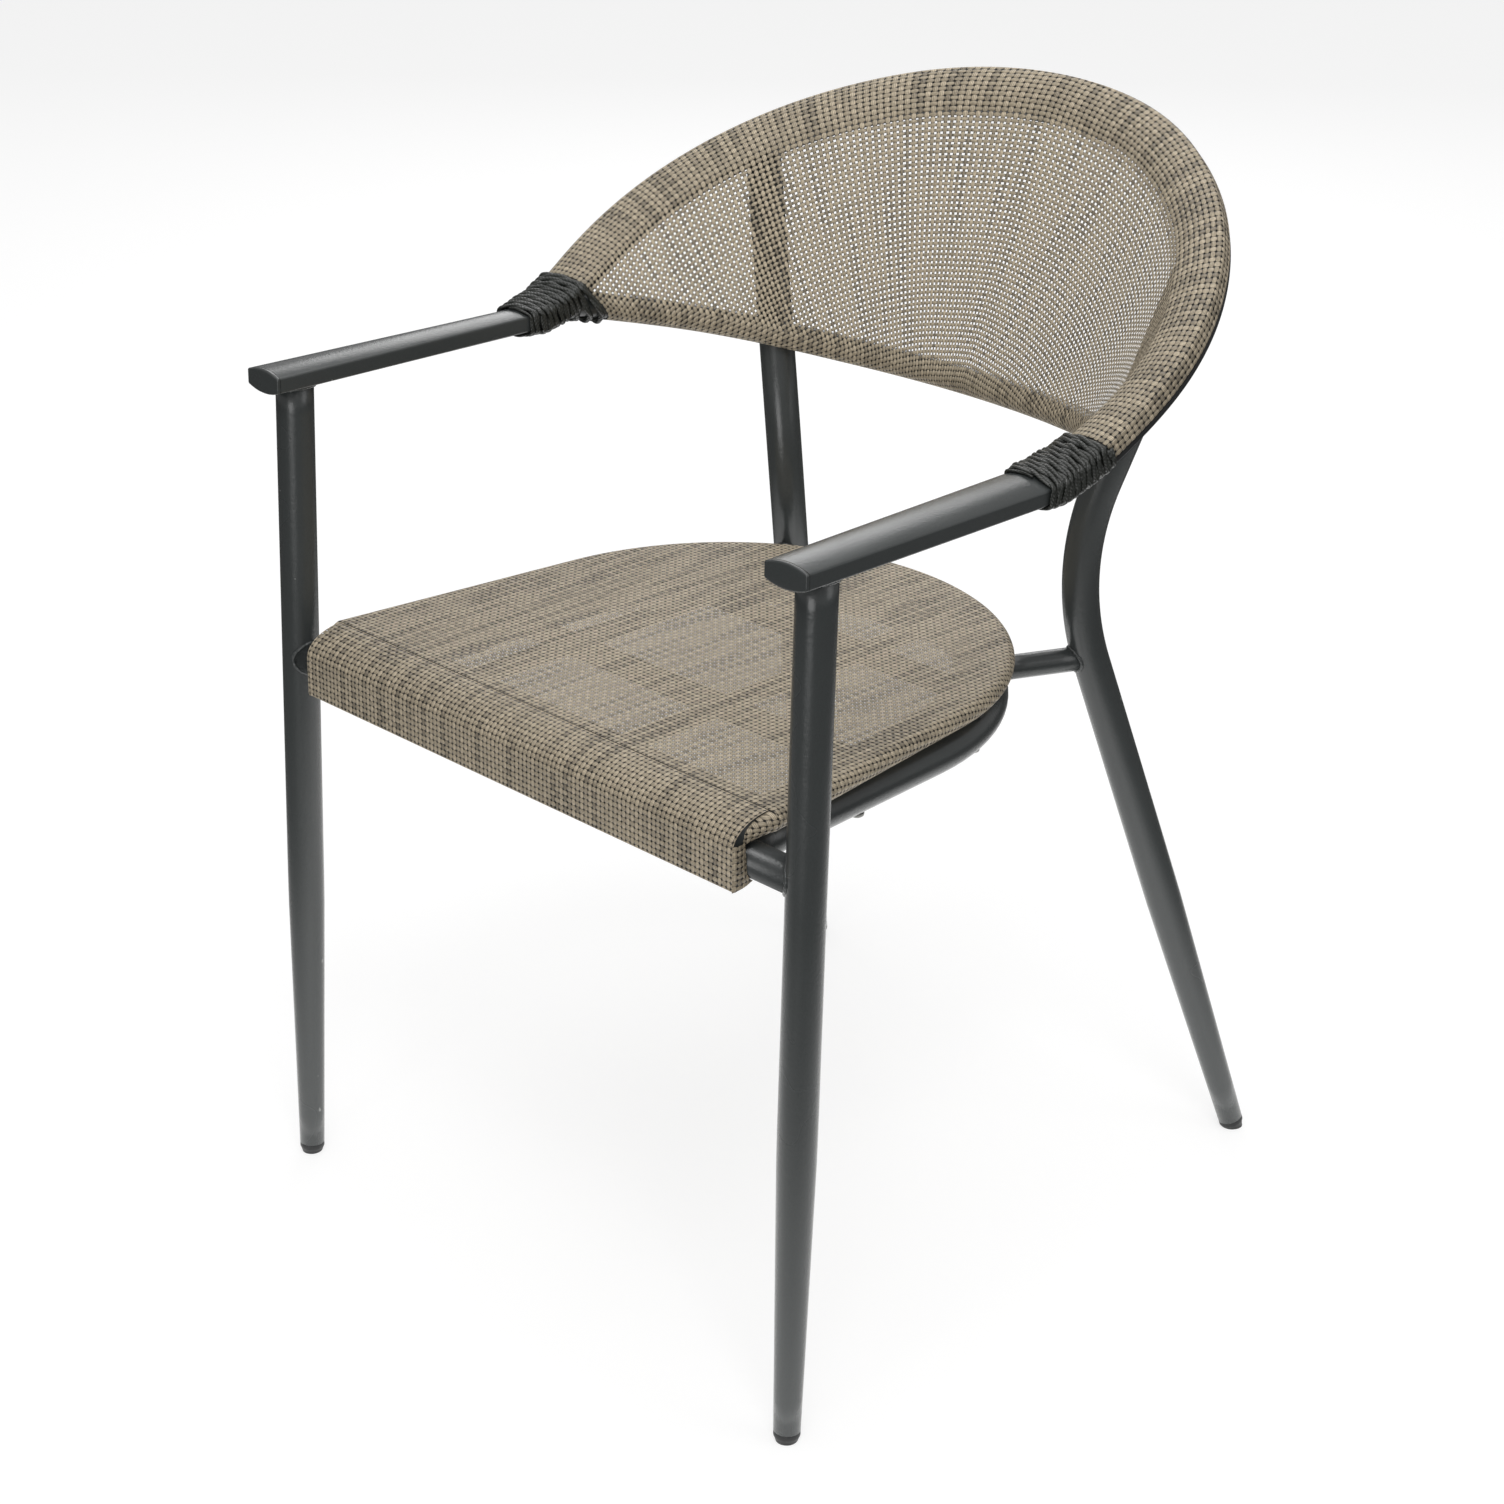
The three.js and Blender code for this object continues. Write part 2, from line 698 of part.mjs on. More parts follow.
// Side view of the rounded front rail with its skirt, moved out by offset
function noseShape(offset) {
  const shape = new THREE.Shape();
  const front = noseFront - offset;
  const top = seatTubeHalfThickness + offset;
  const arcCentreY = noseFront + noseDepth;
  const arcCentreZ = seatTubeHalfThickness - noseHeight;
  shape.moveTo(noseBack + offset, top);
  shape.lineTo(arcCentreY, top);
  for (const angle of steps(quarterTurn, halfTurn, seatArcSteps / 2).slice(1)) {
    shape.lineTo(
      arcCentreY + (noseDepth + offset) * Math.cos(angle),
      arcCentreZ + (noseHeight + offset) * Math.sin(angle),
    );
  }
  shape.lineTo(front, -skirtDrop - offset);
  shape.lineTo(noseFront + skirtThickness + offset, -skirtDrop - offset);
  shape.lineTo(noseFront + skirtThickness + offset, -seatTubeHalfThickness - offset);
  shape.lineTo(noseBack + offset, -seatTubeHalfThickness - offset);
  return shape;
}

function noseBody(offset) {
  const length = 2 * (noseHalfLength + offset);
  const extrusion = { depth: length, bevelEnabled: false, steps: 1 };
  const geometry = new THREE.ExtrudeGeometry(noseShape(offset), extrusion);
  const basis = new THREE.Matrix4().makeBasis(
    new THREE.Vector3(0, 1, 0), new THREE.Vector3(0, 0, 1), new THREE.Vector3(1, 0, 0));
  return geometry.applyMatrix4(basis).translate(-length / 2, 0, 0);
}

// The closed outer form of the seat: the ring's outline filled in, with a round rim
function seatSlab(offset) {
  const radius = seatTubeHalfThickness + offset;
  return loft(seatRimAngles.map((angle) => {
    const across = seatRoundCentre + radius * Math.cos(angle);
    const half = seatStations.map((station) => planPoint(station, across, radius * Math.sin(angle)));
    return [...half, ...half.slice(0, -1).map(mirroredPoint).reverse()];
  }));
}

function seatMesh() {
  const outer = joined(seatSlab(meshOutside), noseBody(meshOutside));
  const inner = joined(seatSlab(meshSeat), noseBody(meshSeat));
  const opening = seatStations.map((station) => planPoint(station, -hemWidth, 0));
  const inside = opening.map((point) => point.clone());
  inside[0].y = noseFront + skirtThickness + meshOutside + gap;
  const plan = [...inside, ...inside.slice(0, -1).map(mirroredPoint).reverse()];
  const drop = skirtDrop + overrun;
  const cutter = loft([plan.map((point) => new THREE.Vector3(point.x, point.y, -drop)), plan]);
  const holes = boltTools(holeRadius + gap, ringBottom - overrun, 0);
  return cut(outer, inner, cutter, ...holes);
}

const slatTop = seatTubeHalfThickness;

function longSlat() {
  const reach = seatBackCentre + seatBackRadius;
  const slat = block(
    new THREE.Vector3(longSlatX - longSlatWidth / 2, noseBack + gap, slatTop - slatThickness),
    new THREE.Vector3(longSlatX + longSlatWidth / 2, reach, slatTop),
  );
  return largestBody(cut(slat, seatRingBody(gap)));
}

function crossSlat(y) {
  const top = slatTop - slatThickness - gap;
  const slat = block(
    new THREE.Vector3(-seatHalfFront, y - crossSlatWidth / 2, top - slatThickness),
    new THREE.Vector3(seatHalfFront, y + crossSlatWidth / 2, top),
  );
  return largestBody(cut(slat, seatRingBody(gap)));
}

function largestBody(geometry) {
  const parts = toSolid(geometry).decompose();
  parts.sort((a, b) => b.volume() - a.volume());
  return fromSolid(parts[0]);
}

function spacer() {
  const height = ringBottom - meshOutside - gap - (supportTop + gap);
  const outline = [
    [holeRadius, 0],
    [spacerRadius, 0],
    [spacerRadius, height],
    [holeRadius, height],
    [holeRadius, 0],
  ].map(([radius, z]) => new THREE.Vector2(radius, z));
  const geometry = new THREE.LatheGeometry(outline, smallSides);
  return geometry.rotateX(quarterTurn).translate(0, 0, supportTop + gap);
}

function bolt() {
  const headTop = supportBottom - gap;
  const outline = [
    [0, headTop - boltHeadHeight],
    [boltHeadRadius * 0.7, headTop - boltHeadHeight],
    [boltHeadRadius, headTop - boltHeadHeight / 2],
    [boltHeadRadius, headTop],
    [boltRadius, headTop],
    [boltRadius, boltTop],
    [0, boltTop],
  ].map(([radius, z]) => new THREE.Vector2(radius, z));
  return new THREE.LatheGeometry(outline, smallSides).rotateX(quarterTurn);
}

// Cross tube and braces, coped onto what they meet

function crossTubeBar(offset) {
  return bar(mirroredPoint(crossTubeEnd), crossTubeEnd, crossTubeRadius + offset, legSides);
}

function braceBar() {
  const angle = braceAngleOnSupport;
  const onSupport = new THREE.Vector3(
    supportBackRadius * Math.cos(angle),
    supportBackCentre + supportBackRadius * Math.sin(angle),
    braceLift - supportDrop,
  ).applyMatrix4(seatGroup.matrixWorld);
  const onLeg = pointAtHeight(rearLegLine(glideHeight, 0), seatHeight - braceDrop);
  return bar(onLeg, onSupport, braceRadius, legSides);
}

// Cord winding over the joint of arm, hoop and lower rail

function windingFrame(distance) {
  return hoopFrame(hoopCurve.getUtoTmapping(distance / hoopHalfLength));
}

// The rail in the hoop's section: an ellipse, long where the rail leans.
// Ahead of the rail's end it is drawn in to the tube's middle.
function railSection(distance) {
  const frame = windingFrame(distance);
  const crossing = railCrossing(frame);
  const railEnd = -railLeadIn - railRadius / 2;
  const { point, along } = railAt(Math.max(crossing, railEnd));
  const place = point.sub(frame.origin);
  const lean = new THREE.Vector2(along.dot(frame.wide), along.dot(frame.face));
  const stretch = 1 / along.dot(frame.along) ** 2 - 1;
  const share = Math.min(1, Math.max(0, 1 + (crossing - railEnd) / railRadius));
  return {
    centre: new THREE.Vector2(place.dot(frame.wide), place.dot(frame.face)).multiplyScalar(share),
    lean: lean.normalize(),
    stretch: stretch * share,
    radius: railRadius * share,
  };
}

// The rail section's point whose outward normal is given, moved out by clearance
function sectionPoint({ centre, lean, stretch, radius }, normal, clearance) {
  const reach = normal.clone().addScaledVector(lean, stretch * normal.dot(lean));
  reach.multiplyScalar(radius / Math.sqrt(normal.dot(reach)));
  return reach.add(centre).addScaledVector(normal, clearance);
}

// The taut outline round tube and rail at a distance along, sampled by the outward normal's angle
function windingHull(distance, clearance) {
  const section = railSection(distance);
  return steps(0, fullTurn, hullSamples).map((step) => {
    const angle = step + halfTurn / hullSamples;
    const normal = new THREE.Vector2(Math.cos(angle), Math.sin(angle));
    const tube = ovalPoint(angle, clearance);
    const rail = sectionPoint(section, normal, clearance);
    return rail.dot(normal) > tube.dot(normal) ? rail : tube;
  });
}

// A point of the outline at a share of the way round, counted partly by angle and partly by length
function hullPoint(hull, share) {
  const lengths = hull.slice(1).map((point, k) => point.distanceTo(hull[k]));
  const total = lengths.reduce((sum, length) => sum + length, 0);
  let reached = 0;
  for (let k = 0; k < lengths.length; k++) {
    const step = (lengths[k] / total) * (1 - turnShare) + turnShare / hullSamples;
    if (reached + step >= share) return hull[k].clone().lerp(hull[k + 1], (share - reached) / step);
    reached += step;
  }
  return hull[0].clone();
}

function cordLine() {
  const clearance = cordRadius + cordSeat;
  const points = [];
  for (let k = 0; k <= cordLoops * cordSteps; k++) {
    const distance = cordStart + (cordPitch * k) / cordSteps;
    const around = hullPoint(windingHull(distance, clearance), (k % cordSteps) / cordSteps);
    points.push(placed(windingFrame(distance), around.x, around.y));
  }
  const last = points.length - 1;
  points.unshift(alongLine(points[0], points[1], -2 * cordRadius));
  points.push(alongLine(points[last + 1], points[last], -2 * cordRadius));
  return points;
}

function cordRings(points) {
  return points.map((point, k) => {
    const before = points[Math.max(0, k - 1)];
    const after = points[Math.min(points.length - 1, k + 1)];
    const along = new THREE.Vector3().subVectors(after, before).normalize();
    const first = new THREE.Vector3(0, 1, 0).addScaledVector(along, -along.y).normalize();
    const second = along.clone().cross(first);
    return roundAngles(cordSides).map((angle) => (
      point.clone().addScaledVector(first, cordRadius * Math.cos(angle))
        .addScaledVector(second, cordRadius * Math.sin(angle))));
  });
}

// The least distance between the surfaces of turns that lie beside each other
function leastCordGap(points) {
  let least = Infinity;
  for (let i = 0; i < points.length; i++) {
    for (let j = i + Math.floor(cordSteps / 2); j + 1 < points.length; j++) {
      const segment = new THREE.Line3(points[j], points[j + 1]);
      const nearest = segment.closestPointToPoint(points[i], true, new THREE.Vector3());
      least = Math.min(least, nearest.distanceTo(points[i]) - 2 * cordRadius);
    }
  }
  return least;
}

// Back mesh: from behind the lower rail, round its front, up and over the hoop to its back

const railWrapAngles = railAngles.filter((angle) => angle < halfTurn).reverse();
const hoopFrontAngles = ovalAngles().filter((angle) => angle < 1.8); // 0 at the outer edge
const hoopRearAngles = ovalAngles()
  .filter((angle) => angle > fullTurn - 1.4)
  .map((angle) => angle - fullTurn);
const hoopWrapAngles = [...hoopFrontAngles.reverse(), ...hoopRearAngles.reverse()];
const spanShares = [1 / 3, 2 / 3];

// The oval's point where a line from this place, inside the back's bow, touches its front corner
function tautCorner(frame, place, offset) {
  const toPlace = place.clone().sub(placed(frame, -coreHalfWidth, coreCorner));
  return ovalPoint(Math.atan2(-toPlace.dot(frame.wide), toPlace.dot(frame.face)), offset);
}

// A place on the tube's rear crown, moved out by offset
function rearCrown(frame, across, offset) {
  const height = crownCentre + Math.sqrt((crownRadius + offset) ** 2 - across ** 2);
  return placed(frame, across, -height);
}

const stripOuter = tubeHalfWidth - stripInset;
const stripInner = stripOuter - stripWidth;
const stripStep = stripInner + stripLip;

function backMeshRow(t, offset) {
  const frame = hoopFrame(t);
  const row = railRing(t, railWrapAngles, offset);
  const low = row[row.length - 1];
  const onTube = hoopWrapAngles.map((angle) => ovalPoint(angle, offset));
  const section = [tautCorner(frame, low, offset), ...onTube];
  const over = section.map((point) => placed(frame, point.x, point.y));
  for (const share of spanShares) row.push(low.clone().lerp(over[0], share));
  return [...row, ...over, rearCrown(frame, stripStep + gap, offset)];
}

function backMesh() {
  const outer = bothHalves(meshPlaces.map((t) => backMeshRow(t, meshOutside)));
  const inner = bothHalves(meshPlaces.map((t) => backMeshRow(t, meshSeat)));
  return sheet(outer, inner);
}

// Edge strip on the back of the hoop: its lip lies on the tube and the rest on the mesh's edge
function edgeStrip() {
  const onMesh = meshOutside + gap;
  const chamfer = stripThickness / 3;
  const section = [
    [stripInner, gap],
    [stripStep, gap],
    [stripStep, onMesh],
    [(stripStep + stripOuter) / 2, onMesh],
    [stripOuter, onMesh],
    [stripOuter, onMesh + stripThickness - chamfer],
    [stripOuter - chamfer, onMesh + stripThickness],
    [stripInner + chamfer, onMesh + stripThickness],
    [stripInner, onMesh + stripThickness - chamfer],
  ];
  return loft(bothHalves(meshPlaces.map((t) => {
    const frame = hoopFrame(t);
    return section.map(([across, offset]) => rearCrown(frame, across, offset));
  })));
}

// Materials

const frameCoat = new THREE.MeshStandardMaterial({ color: 0x4b4e4f, roughness: 0.45, metalness: 0.35 });
const meshWeave = new THREE.MeshStandardMaterial({ color: 0x95897a, roughness: 0.8, metalness: 0 });
const cordSkin = new THREE.MeshStandardMaterial({ color: 0x35383a, roughness: 0.5, metalness: 0 });
const darkPlastic = new THREE.MeshStandardMaterial({ color: 0x1d1e1f, roughness: 0.6, metalness: 0 });
const steel = new THREE.MeshStandardMaterial({ color: 0x9b9c9a, roughness: 0.35, metalness: 1 });

// Assembly

const chair = new THREE.Group();

function add(group, name, geometry, material) {
  geometry.computeVertexNormals();
  const mesh = new THREE.Mesh(geometry, material);
  mesh.name = name;
  group.add(mesh);
  return mesh;
}

function addPair(group, name, geometry, material) {
  add(group, `${name}_left`, geometry, material);
  add(group, `${name}_right`, mirrored(geometry), material);
}

const hoopTool = hoopBody(gap);
const rearLegTool = rearLegBody(gap);
const supportTool = supportBody(gap).applyMatrix4(seatGroup.matrixWorld);
const frontGlide = glideTools(frontFoot, frontLegTop);
const rearGlide = glideTools(rearFoot, rearKnee);

addPair(chair, 'arm', armBody(0), frameCoat);
addPair(chair, 'arm_end_cap', armCap(), frameCoat);
add(chair, 'back_hoop', hoopBody(0), frameCoat);
add(chair, 'lower_back_rail', cut(railBody(0), hoopTool), frameCoat);
addPair(chair, 'front_leg', cut(frontLegBody(0), armBody(gap), frontGlide.bore), frameCoat);
addPair(chair, 'rear_leg', cut(rearLegBody(0), hoopTool, railBody(gap), rearGlide.bore), frameCoat);
addPair(chair, 'foot_glide_front', frontGlide.glide, darkPlastic);
addPair(chair, 'foot_glide_rear', rearGlide.glide, darkPlastic);
const crossTube = cut(crossTubeBar(0), frontLegBody(gap), mirrored(frontLegBody(gap)));
add(chair, 'front_cross_tube', crossTube, frameCoat);
addPair(chair, 'rear_brace', cut(braceBar(), rearLegBody(gap), supportTool), frameCoat);
add(chair, 'back_edge_strip', cut(edgeStrip(), rearLegTool, mirrored(rearLegTool)), darkPlastic);
add(chair, 'back_fabric', cut(backMesh(), rearLegTool, mirrored(rearLegTool)), meshWeave);

const cord = cordLine();
console.log(`cord winding: least gap to itself ${leastCordGap(cord).toFixed(2)} mm`);
addPair(chair, 'cord_wrap', loft(cordRings(cord)), cordSkin);

const supportHoles = boltTools(holeRadius, supportBottom - overrun, supportTop + overrun);
const crossTool = crossTubeBar(gap).applyMatrix4(toSeat);
add(seatGroup, 'seat_support_tube', cut(supportBody(0), crossTool, ...supportHoles), frameCoat);
add(seatGroup, 'seat_ring', seatRing(), frameCoat);
add(seatGroup, 'seat_front_rail', noseBody(0), frameCoat);
addPair(seatGroup, 'seat_long_slat', longSlat(), frameCoat);
add(seatGroup, 'seat_cross_slat_front', crossSlat(crossSlatPlaces[0]), frameCoat);
add(seatGroup, 'seat_cross_slat_rear', crossSlat(crossSlatPlaces[1]), frameCoat);
add(seatGroup, 'seat_fabric', seatMesh(), meshWeave);
for (const [row, place] of Object.entries(bolts)) {
  for (const [side, sign] of boltSides) {
    const between = add(seatGroup, `seat_spacer_${row}_${side}`, spacer(), darkPlastic);
    between.position.set(sign * place.x, place.y, 0);
    add(seatGroup, `seat_bolt_${row}_${side}`, bolt(), steel).position.set(sign * place.x, place.y, 0);
  }
}
chair.add(seatGroup);

// The origin goes to the middle of the chair's box, on the floor
chair.updateMatrixWorld(true);
const bounds = new THREE.Box3().setFromObject(chair, true);
chair.position.y = -(bounds.min.y + bounds.max.y) / 2;

export default chair;
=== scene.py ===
"""Looks of the outdoor bistro armchair: coated aluminium tube frame, woven mesh, wound cord.

Lengths in the code are millimetres in the chair's own place, with Y = 0 through the front feet;
TO_FRAME takes them to the model's frame in metres. The chair faces -Y and its left side is +X.
"""

import math
from functools import partial

import bmesh
import bpy
from bpy.props import FloatProperty, FloatVectorProperty, IntProperty, PointerProperty
from mathutils import Matrix, Vector
from mathutils.bvhtree import BVHTree


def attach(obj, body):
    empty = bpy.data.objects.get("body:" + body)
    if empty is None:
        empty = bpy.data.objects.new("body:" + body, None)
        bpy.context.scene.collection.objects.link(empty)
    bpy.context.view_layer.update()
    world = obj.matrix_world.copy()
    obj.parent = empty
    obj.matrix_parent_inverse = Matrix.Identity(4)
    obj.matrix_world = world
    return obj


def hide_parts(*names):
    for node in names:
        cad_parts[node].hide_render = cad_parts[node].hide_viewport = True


bl_info = {
    "name": "Outdoor bistro armchair",
    "version": (1, 0, 0),
    "blender": (4, 5, 0),
    "location": "View3D > Sidebar > Chair",
    "description": "Builds an armchair of coated tube, woven mesh and wound cord",
    "category": "Object",
}

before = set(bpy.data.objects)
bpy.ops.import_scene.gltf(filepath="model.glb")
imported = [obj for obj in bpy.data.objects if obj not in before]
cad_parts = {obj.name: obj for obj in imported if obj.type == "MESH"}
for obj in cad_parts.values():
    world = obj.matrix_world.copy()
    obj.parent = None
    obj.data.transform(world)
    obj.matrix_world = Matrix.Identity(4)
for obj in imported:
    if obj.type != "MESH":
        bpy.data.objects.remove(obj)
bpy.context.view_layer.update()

MM = 0.001
FEET_Y = -0.289052
TO_FRAME = Matrix.Translation((0, FEET_Y, 0)) @ Matrix.Scale(MM, 4)
X_AXIS, Y_AXIS, UP = Vector((1, 0, 0)), Vector((0, 1, 0)), Vector((0, 0, 1))
TURN = 2 * math.pi
QUARTER = math.pi / 2
GAP = 0.3  # between pieces that touch
HANDS = ((1, "left"), (-1, "right"))

# Flat oval tube
OVAL_HALF_WIDTH = 18.3
OVAL_SIDE = 5.55
OVAL_CROWN = 3.5
OVAL_EDGE = 1.6
ARM_X = 264.8  # at the front
ARM_HEIGHT = 652.8  # at the front
ARM_INSET = 5.5  # how far in the arm's back end is
ARM_DROP = 7.5  # and how far down
ARM_ROLL = 0.12  # outer edge down at the back end
ARM_FRONT = 1.0
ARM_BACK = 231.0
CAP_THICKNESS = 3.0
# The cap's rings from behind: (distance from its front, how far drawn in)
CAP_ROUNDING = ((3.0, 0.4), (2.6, 0.0), (0.9, 0.0), (0.4, 0.25), (0.1, 0.8), (0.0, 1.5))

HOOP_LEAD_IN = 37.0
HOOP_SHARES = [
    (1.014, 0.258, 0.118), (1.011, 0.444, 0.344), (0.904, 0.643, 0.597), (0.645, 0.866, 0.857),
    (0.279, 1, 1), (0, 1, 1),
]
HOOP_KNOTS = [0, 0, 0, 0, 0.2, 0.4, 0.6, 0.8, 1, 1, 1, 1]
HOOP_REACH = 337.7
HOOP_RISE = 150.5
HOOP_TWIST = (-ARM_ROLL, 0.42, 0.452, 0.846)
RAIL_SHARES = [
    (0.933, 0.307, 0.128), (0.86, 0.469, 0.296), (0.739, 0.709, 0.593),
    (0.474, 0.949, 0.969), (0.178, 1, 1), (0, 1, 1),
]
RAIL_KNOTS = [0, 0, 0, 0, 1 / 3, 2 / 3, 1, 1, 1, 1]
RAIL_REACH = 244.9
RAIL_DROP = 52.3
RAIL_RADIUS = 10.0
RAIL_LEAD_IN = 22.0
RAIL_SQUARE_SHARE = 0.25  # of the half rail, over which its rings turn square to it

FRONT_FOOT = Vector((268.9, 0, 0))
FRONT_TOP_X = 265.0
FRONT_LEAN = 30.0  # how far back the leg's top is from its foot
REAR_FOOT = Vector((236.4, 554.0, 0))
REAR_KNEE = Vector((144.9, 419.9, 500.4))
REAR_BEND = 237.0
REAR_SHARE = 0.65  # of the half hoop, where the rear leg meets it
LEG_TOP_INSET = 8.0  # keeps the rear leg's end from showing through the mesh
FOOT_RADIUS = 9.8
TAPER = 230.0
GLIDE_HEIGHT = 8.0
GLIDE_PROFILE = [  # (radius, height), from below the floor, where it is cut, to the plug's top
    (0, -5), (7.6, -5), (8.0, 0.0), (8.4, 1.0), (8.9, 3.2), (9.5, 4.0), (9.7, 4.6), (9.7, 7.2),
    (9.4, GLIDE_HEIGHT), (5.5, GLIDE_HEIGHT), (5.5, 20), (4.9, 22), (0, 22),
]
CROSS_RADIUS = 12.5
CROSS_HEIGHT = 432.5
CROSS_HALF = 262.0
TAPER_TOP_SHARE = 0.37  # of the front leg, above its taper
BRACE_RADIUS = 9.3
BRACE_HEIGHT = 429.5
BRACE_LIFT = 2.5
BRACE_ANGLE = 0.908
WELD_SIDES = 8
WELD_REACH = 60.0  # from where a weld's lines are cast onto the other piece
WELD_SINK = 0.6  # of the brace's bead into the support tube

# Seat pan, level, with z = 0 on the ring's middle plane
SEAT_SLOPE = 0.02
SEAT_HALF_WIDTH = 15.0
SEAT_HALF_THICK = 6.7
SEAT_FRONT = 22.0
SEAT_RADIUS = 192.0
SEAT_CENTRE = 216.0
SUPPORT_DROP = 26.5
NOSE_FRONT = -4.7
NOSE_BACK = 42.0
NOSE_DEPTH = 32.0
NOSE_HEIGHT = 19.0
SKIRT_DROP = 40.7
SKIRT_THICKNESS = 9.6
SKIRT_FOLD = 3.0  # above the skirt's foot, where the cloth starts to turn under
NOSE_HALF = 223.2
SLAT_THICKNESS = 2.5
SLAT_EDGE = 0.6
LONG_SLAT_X = 78.7
LONG_SLAT_WIDTH = 25
CROSS_SLAT_WIDTH = 28
CROSS_SLATS = (132.0, 275.0)
BOLT_FRONT_Y = 140.0
BOLT_REAR_ANGLE = 0.35

MESH_LIFT = 0.9  # the cloth's middle above the tube
HEM_RIGHT = 30.0  # mesh turned in under the ring, from the ring's middle line
HEM_LEFT = 55.0
SEAT_PEAK = SEAT_CENTRE + 40  # the point that the cloth's lines run to behind
SKIRT_SAG = 0.8  # of the cloth below the skirt's foot
HEM_RISE = 3.2  # of the folded skirt's back edge over its front
CLOTH_GAP = 0.6  # from the folded skirt to the cross tube
END_FOLD = 1.6  # how far the skirt's folded ends stand out
FLAP_FOOT = -14  # lowest point of the corner flap, where its V opens
FLAP_INSET = 2.2  # of the flap's front edge from the cloth's end
FLAP_BULGE = 1.8
STRIP_WIDTH = 12.0
STRIP_THICKNESS = 3.6
STRIP_INSET = 1.2
STRIP_LIFT = 1.6  # over the mesh's edge
CORD_START = 3.2
CORD_PITCH = 5.9
CORD_LOOPS = 11
CORD_LAY = 34.0  # length of one turn of its two strands
CORD_GAP = 1.0  # from the winding to the mesh
CORD_LIFT = 0.5  # between the cord and what it is wound on
CORD_GIRTH = 11.0  # round one strand, for its pattern
# Of the cord's width and height: how far a strand is off its middle, and the strand's half size
STRAND_SHARES = (0.2, 0.14, 0.33, 0.37)
LOOP_STEPS = 72
TAIL_STEPS = 15  # left out of the first loop
HULL_SAMPLES = 72
HULL_LENGTH_SHARE = 0.4  # of a hull point's place that goes by length, the rest by turn

# Steps of the back mesh from the rail's back to the strip
WRAP_STEPS = 14  # to the rail's front
FREE_STEPS = 30  # from there to the hoop
BACK_STEPS = 110  # along half the hoop

# Studio, in metres and watts; a lamp has its name, place, side and power
TARGET = Vector((0, 0, 0.45))
LENS, SENSOR, SHIFT = 77.56, 36, (-0.0027, 0.0006)
CAMERA_PLACE = Vector((1.56559, -1.61365, 1.41206))
CAMERA_AZIMUTH, CAMERA_RISE, CAMERA_ROLL = (math.radians(a) for a in (45.02, 25.35, -0.13))
FLOOR_HALF = 14
AMBIENT = 0.4
LAMPS = [
    ("lamp_over", (-0.3, 0.2, 2.8), 2.4, 26),
    ("lamp_high", (1.4, -1.2, 2.9), 1.0, 24),
    ("lamp_front", (0.9, -2.4, 0.5), 1.2, 14),
    ("lamp_left", (2.6, 0.9, 1.6), 1.6, 9),
    ("lamp_behind", (-1.9, 2.1, 1.7), 1.6, 17),
]


# Curves of the frame


def shares(steps):
    """Even shares from 0 to 1."""
    return [i / steps for i in range(steps + 1)]


def spline(points, knots, t):
    """Place and direction on a clamped cubic B-spline."""
    k = max(i for i in range(3, len(points)) if knots[i] <= t or i == 3)
    d = [points[j + k - 3].copy() for j in range(4)]
    for r in (1, 2, 3):
        if r == 3:
            before = d[2].copy(), d[3].copy()
        for j in range(3, r - 1, -1):
            low, high = knots[j + k - 3], knots[j + 1 + k - r]
            d[j] = d[j - 1].lerp(d[j], (t - low) / (high - low))
    return d[3], (before[1] - before[0]).normalized()


def share_points(shares, reach, rise):
    return [
        Vector((x * ARM_X, ARM_BACK + y * reach, ARM_HEIGHT + z * rise)) for x, y, z in shares
    ]


ARM_START = Vector((ARM_X, ARM_FRONT, ARM_HEIGHT))
ARM_END = Vector((ARM_X - ARM_INSET, ARM_BACK, ARM_HEIGHT - ARM_DROP))
ARM_ALONG = (ARM_END - ARM_START).normalized()
HOOP = [ARM_END, ARM_END + ARM_ALONG * HOOP_LEAD_IN, *share_points(HOOP_SHARES, HOOP_REACH, HOOP_RISE)]
RAIL = share_points(RAIL_SHARES, RAIL_REACH, -RAIL_DROP)


def running(places):
    """Running lengths along a line of places."""
    run = [0.0]
    for a, b in zip(places, places[1:]):
        run.append(run[-1] + (b - a).length)
    return run


def lengths_along(points, knots, steps=600):
    """Running lengths of the curve at even steps of t."""
    return running([spline(points, knots, s)[0] for s in shares(steps)])


HOOP_RUN = lengths_along(HOOP, HOOP_KNOTS)
RAIL_RUN = lengths_along(RAIL, RAIL_KNOTS)


def at_length(run, distance):
    """The curve's t at a distance along it."""
    low, high = 0, len(run) - 1
    while high - low > 1:
        middle = (low + high) // 2
        if run[middle] <= distance:
            low = middle
        else:
            high = middle
    share = (distance - run[low]) / (run[high] - run[low])
    return min(1.0, max(0.0, (low + share) / (len(run) - 1)))


class Section:
    """The flat tube's place and directions at t of the half hoop: 0 at the arm, 1 in the middle."""

    def __init__(self, t):
        s = 1 - t
        a, b, c, d = HOOP_TWIST
        twist = a * s**3 + 3 * b * s * s * t + 3 * c * s * t * t + d * t**3
        self.turn(*spline(HOOP, HOOP_KNOTS, t), twist)

    def turn(self, origin, along, twist):
        self.origin, self.along = origin, along
        rise = (UP - along * along.z).normalized()
        self.wide = along.cross(rise) * math.cos(twist) + rise * math.sin(twist)
        self.face = self.wide.cross(along)

    def place(self, across, thick):
        return self.origin + self.wide * across + self.face * thick


class ArmSection(Section):
    """The flat tube's place and directions at y of the arm."""

    def __init__(self, y):
        share = (y - ARM_FRONT) / (ARM_BACK - ARM_FRONT)
        self.turn(ARM_START.lerp(ARM_END, share), ARM_ALONG, -ARM_ROLL * share)


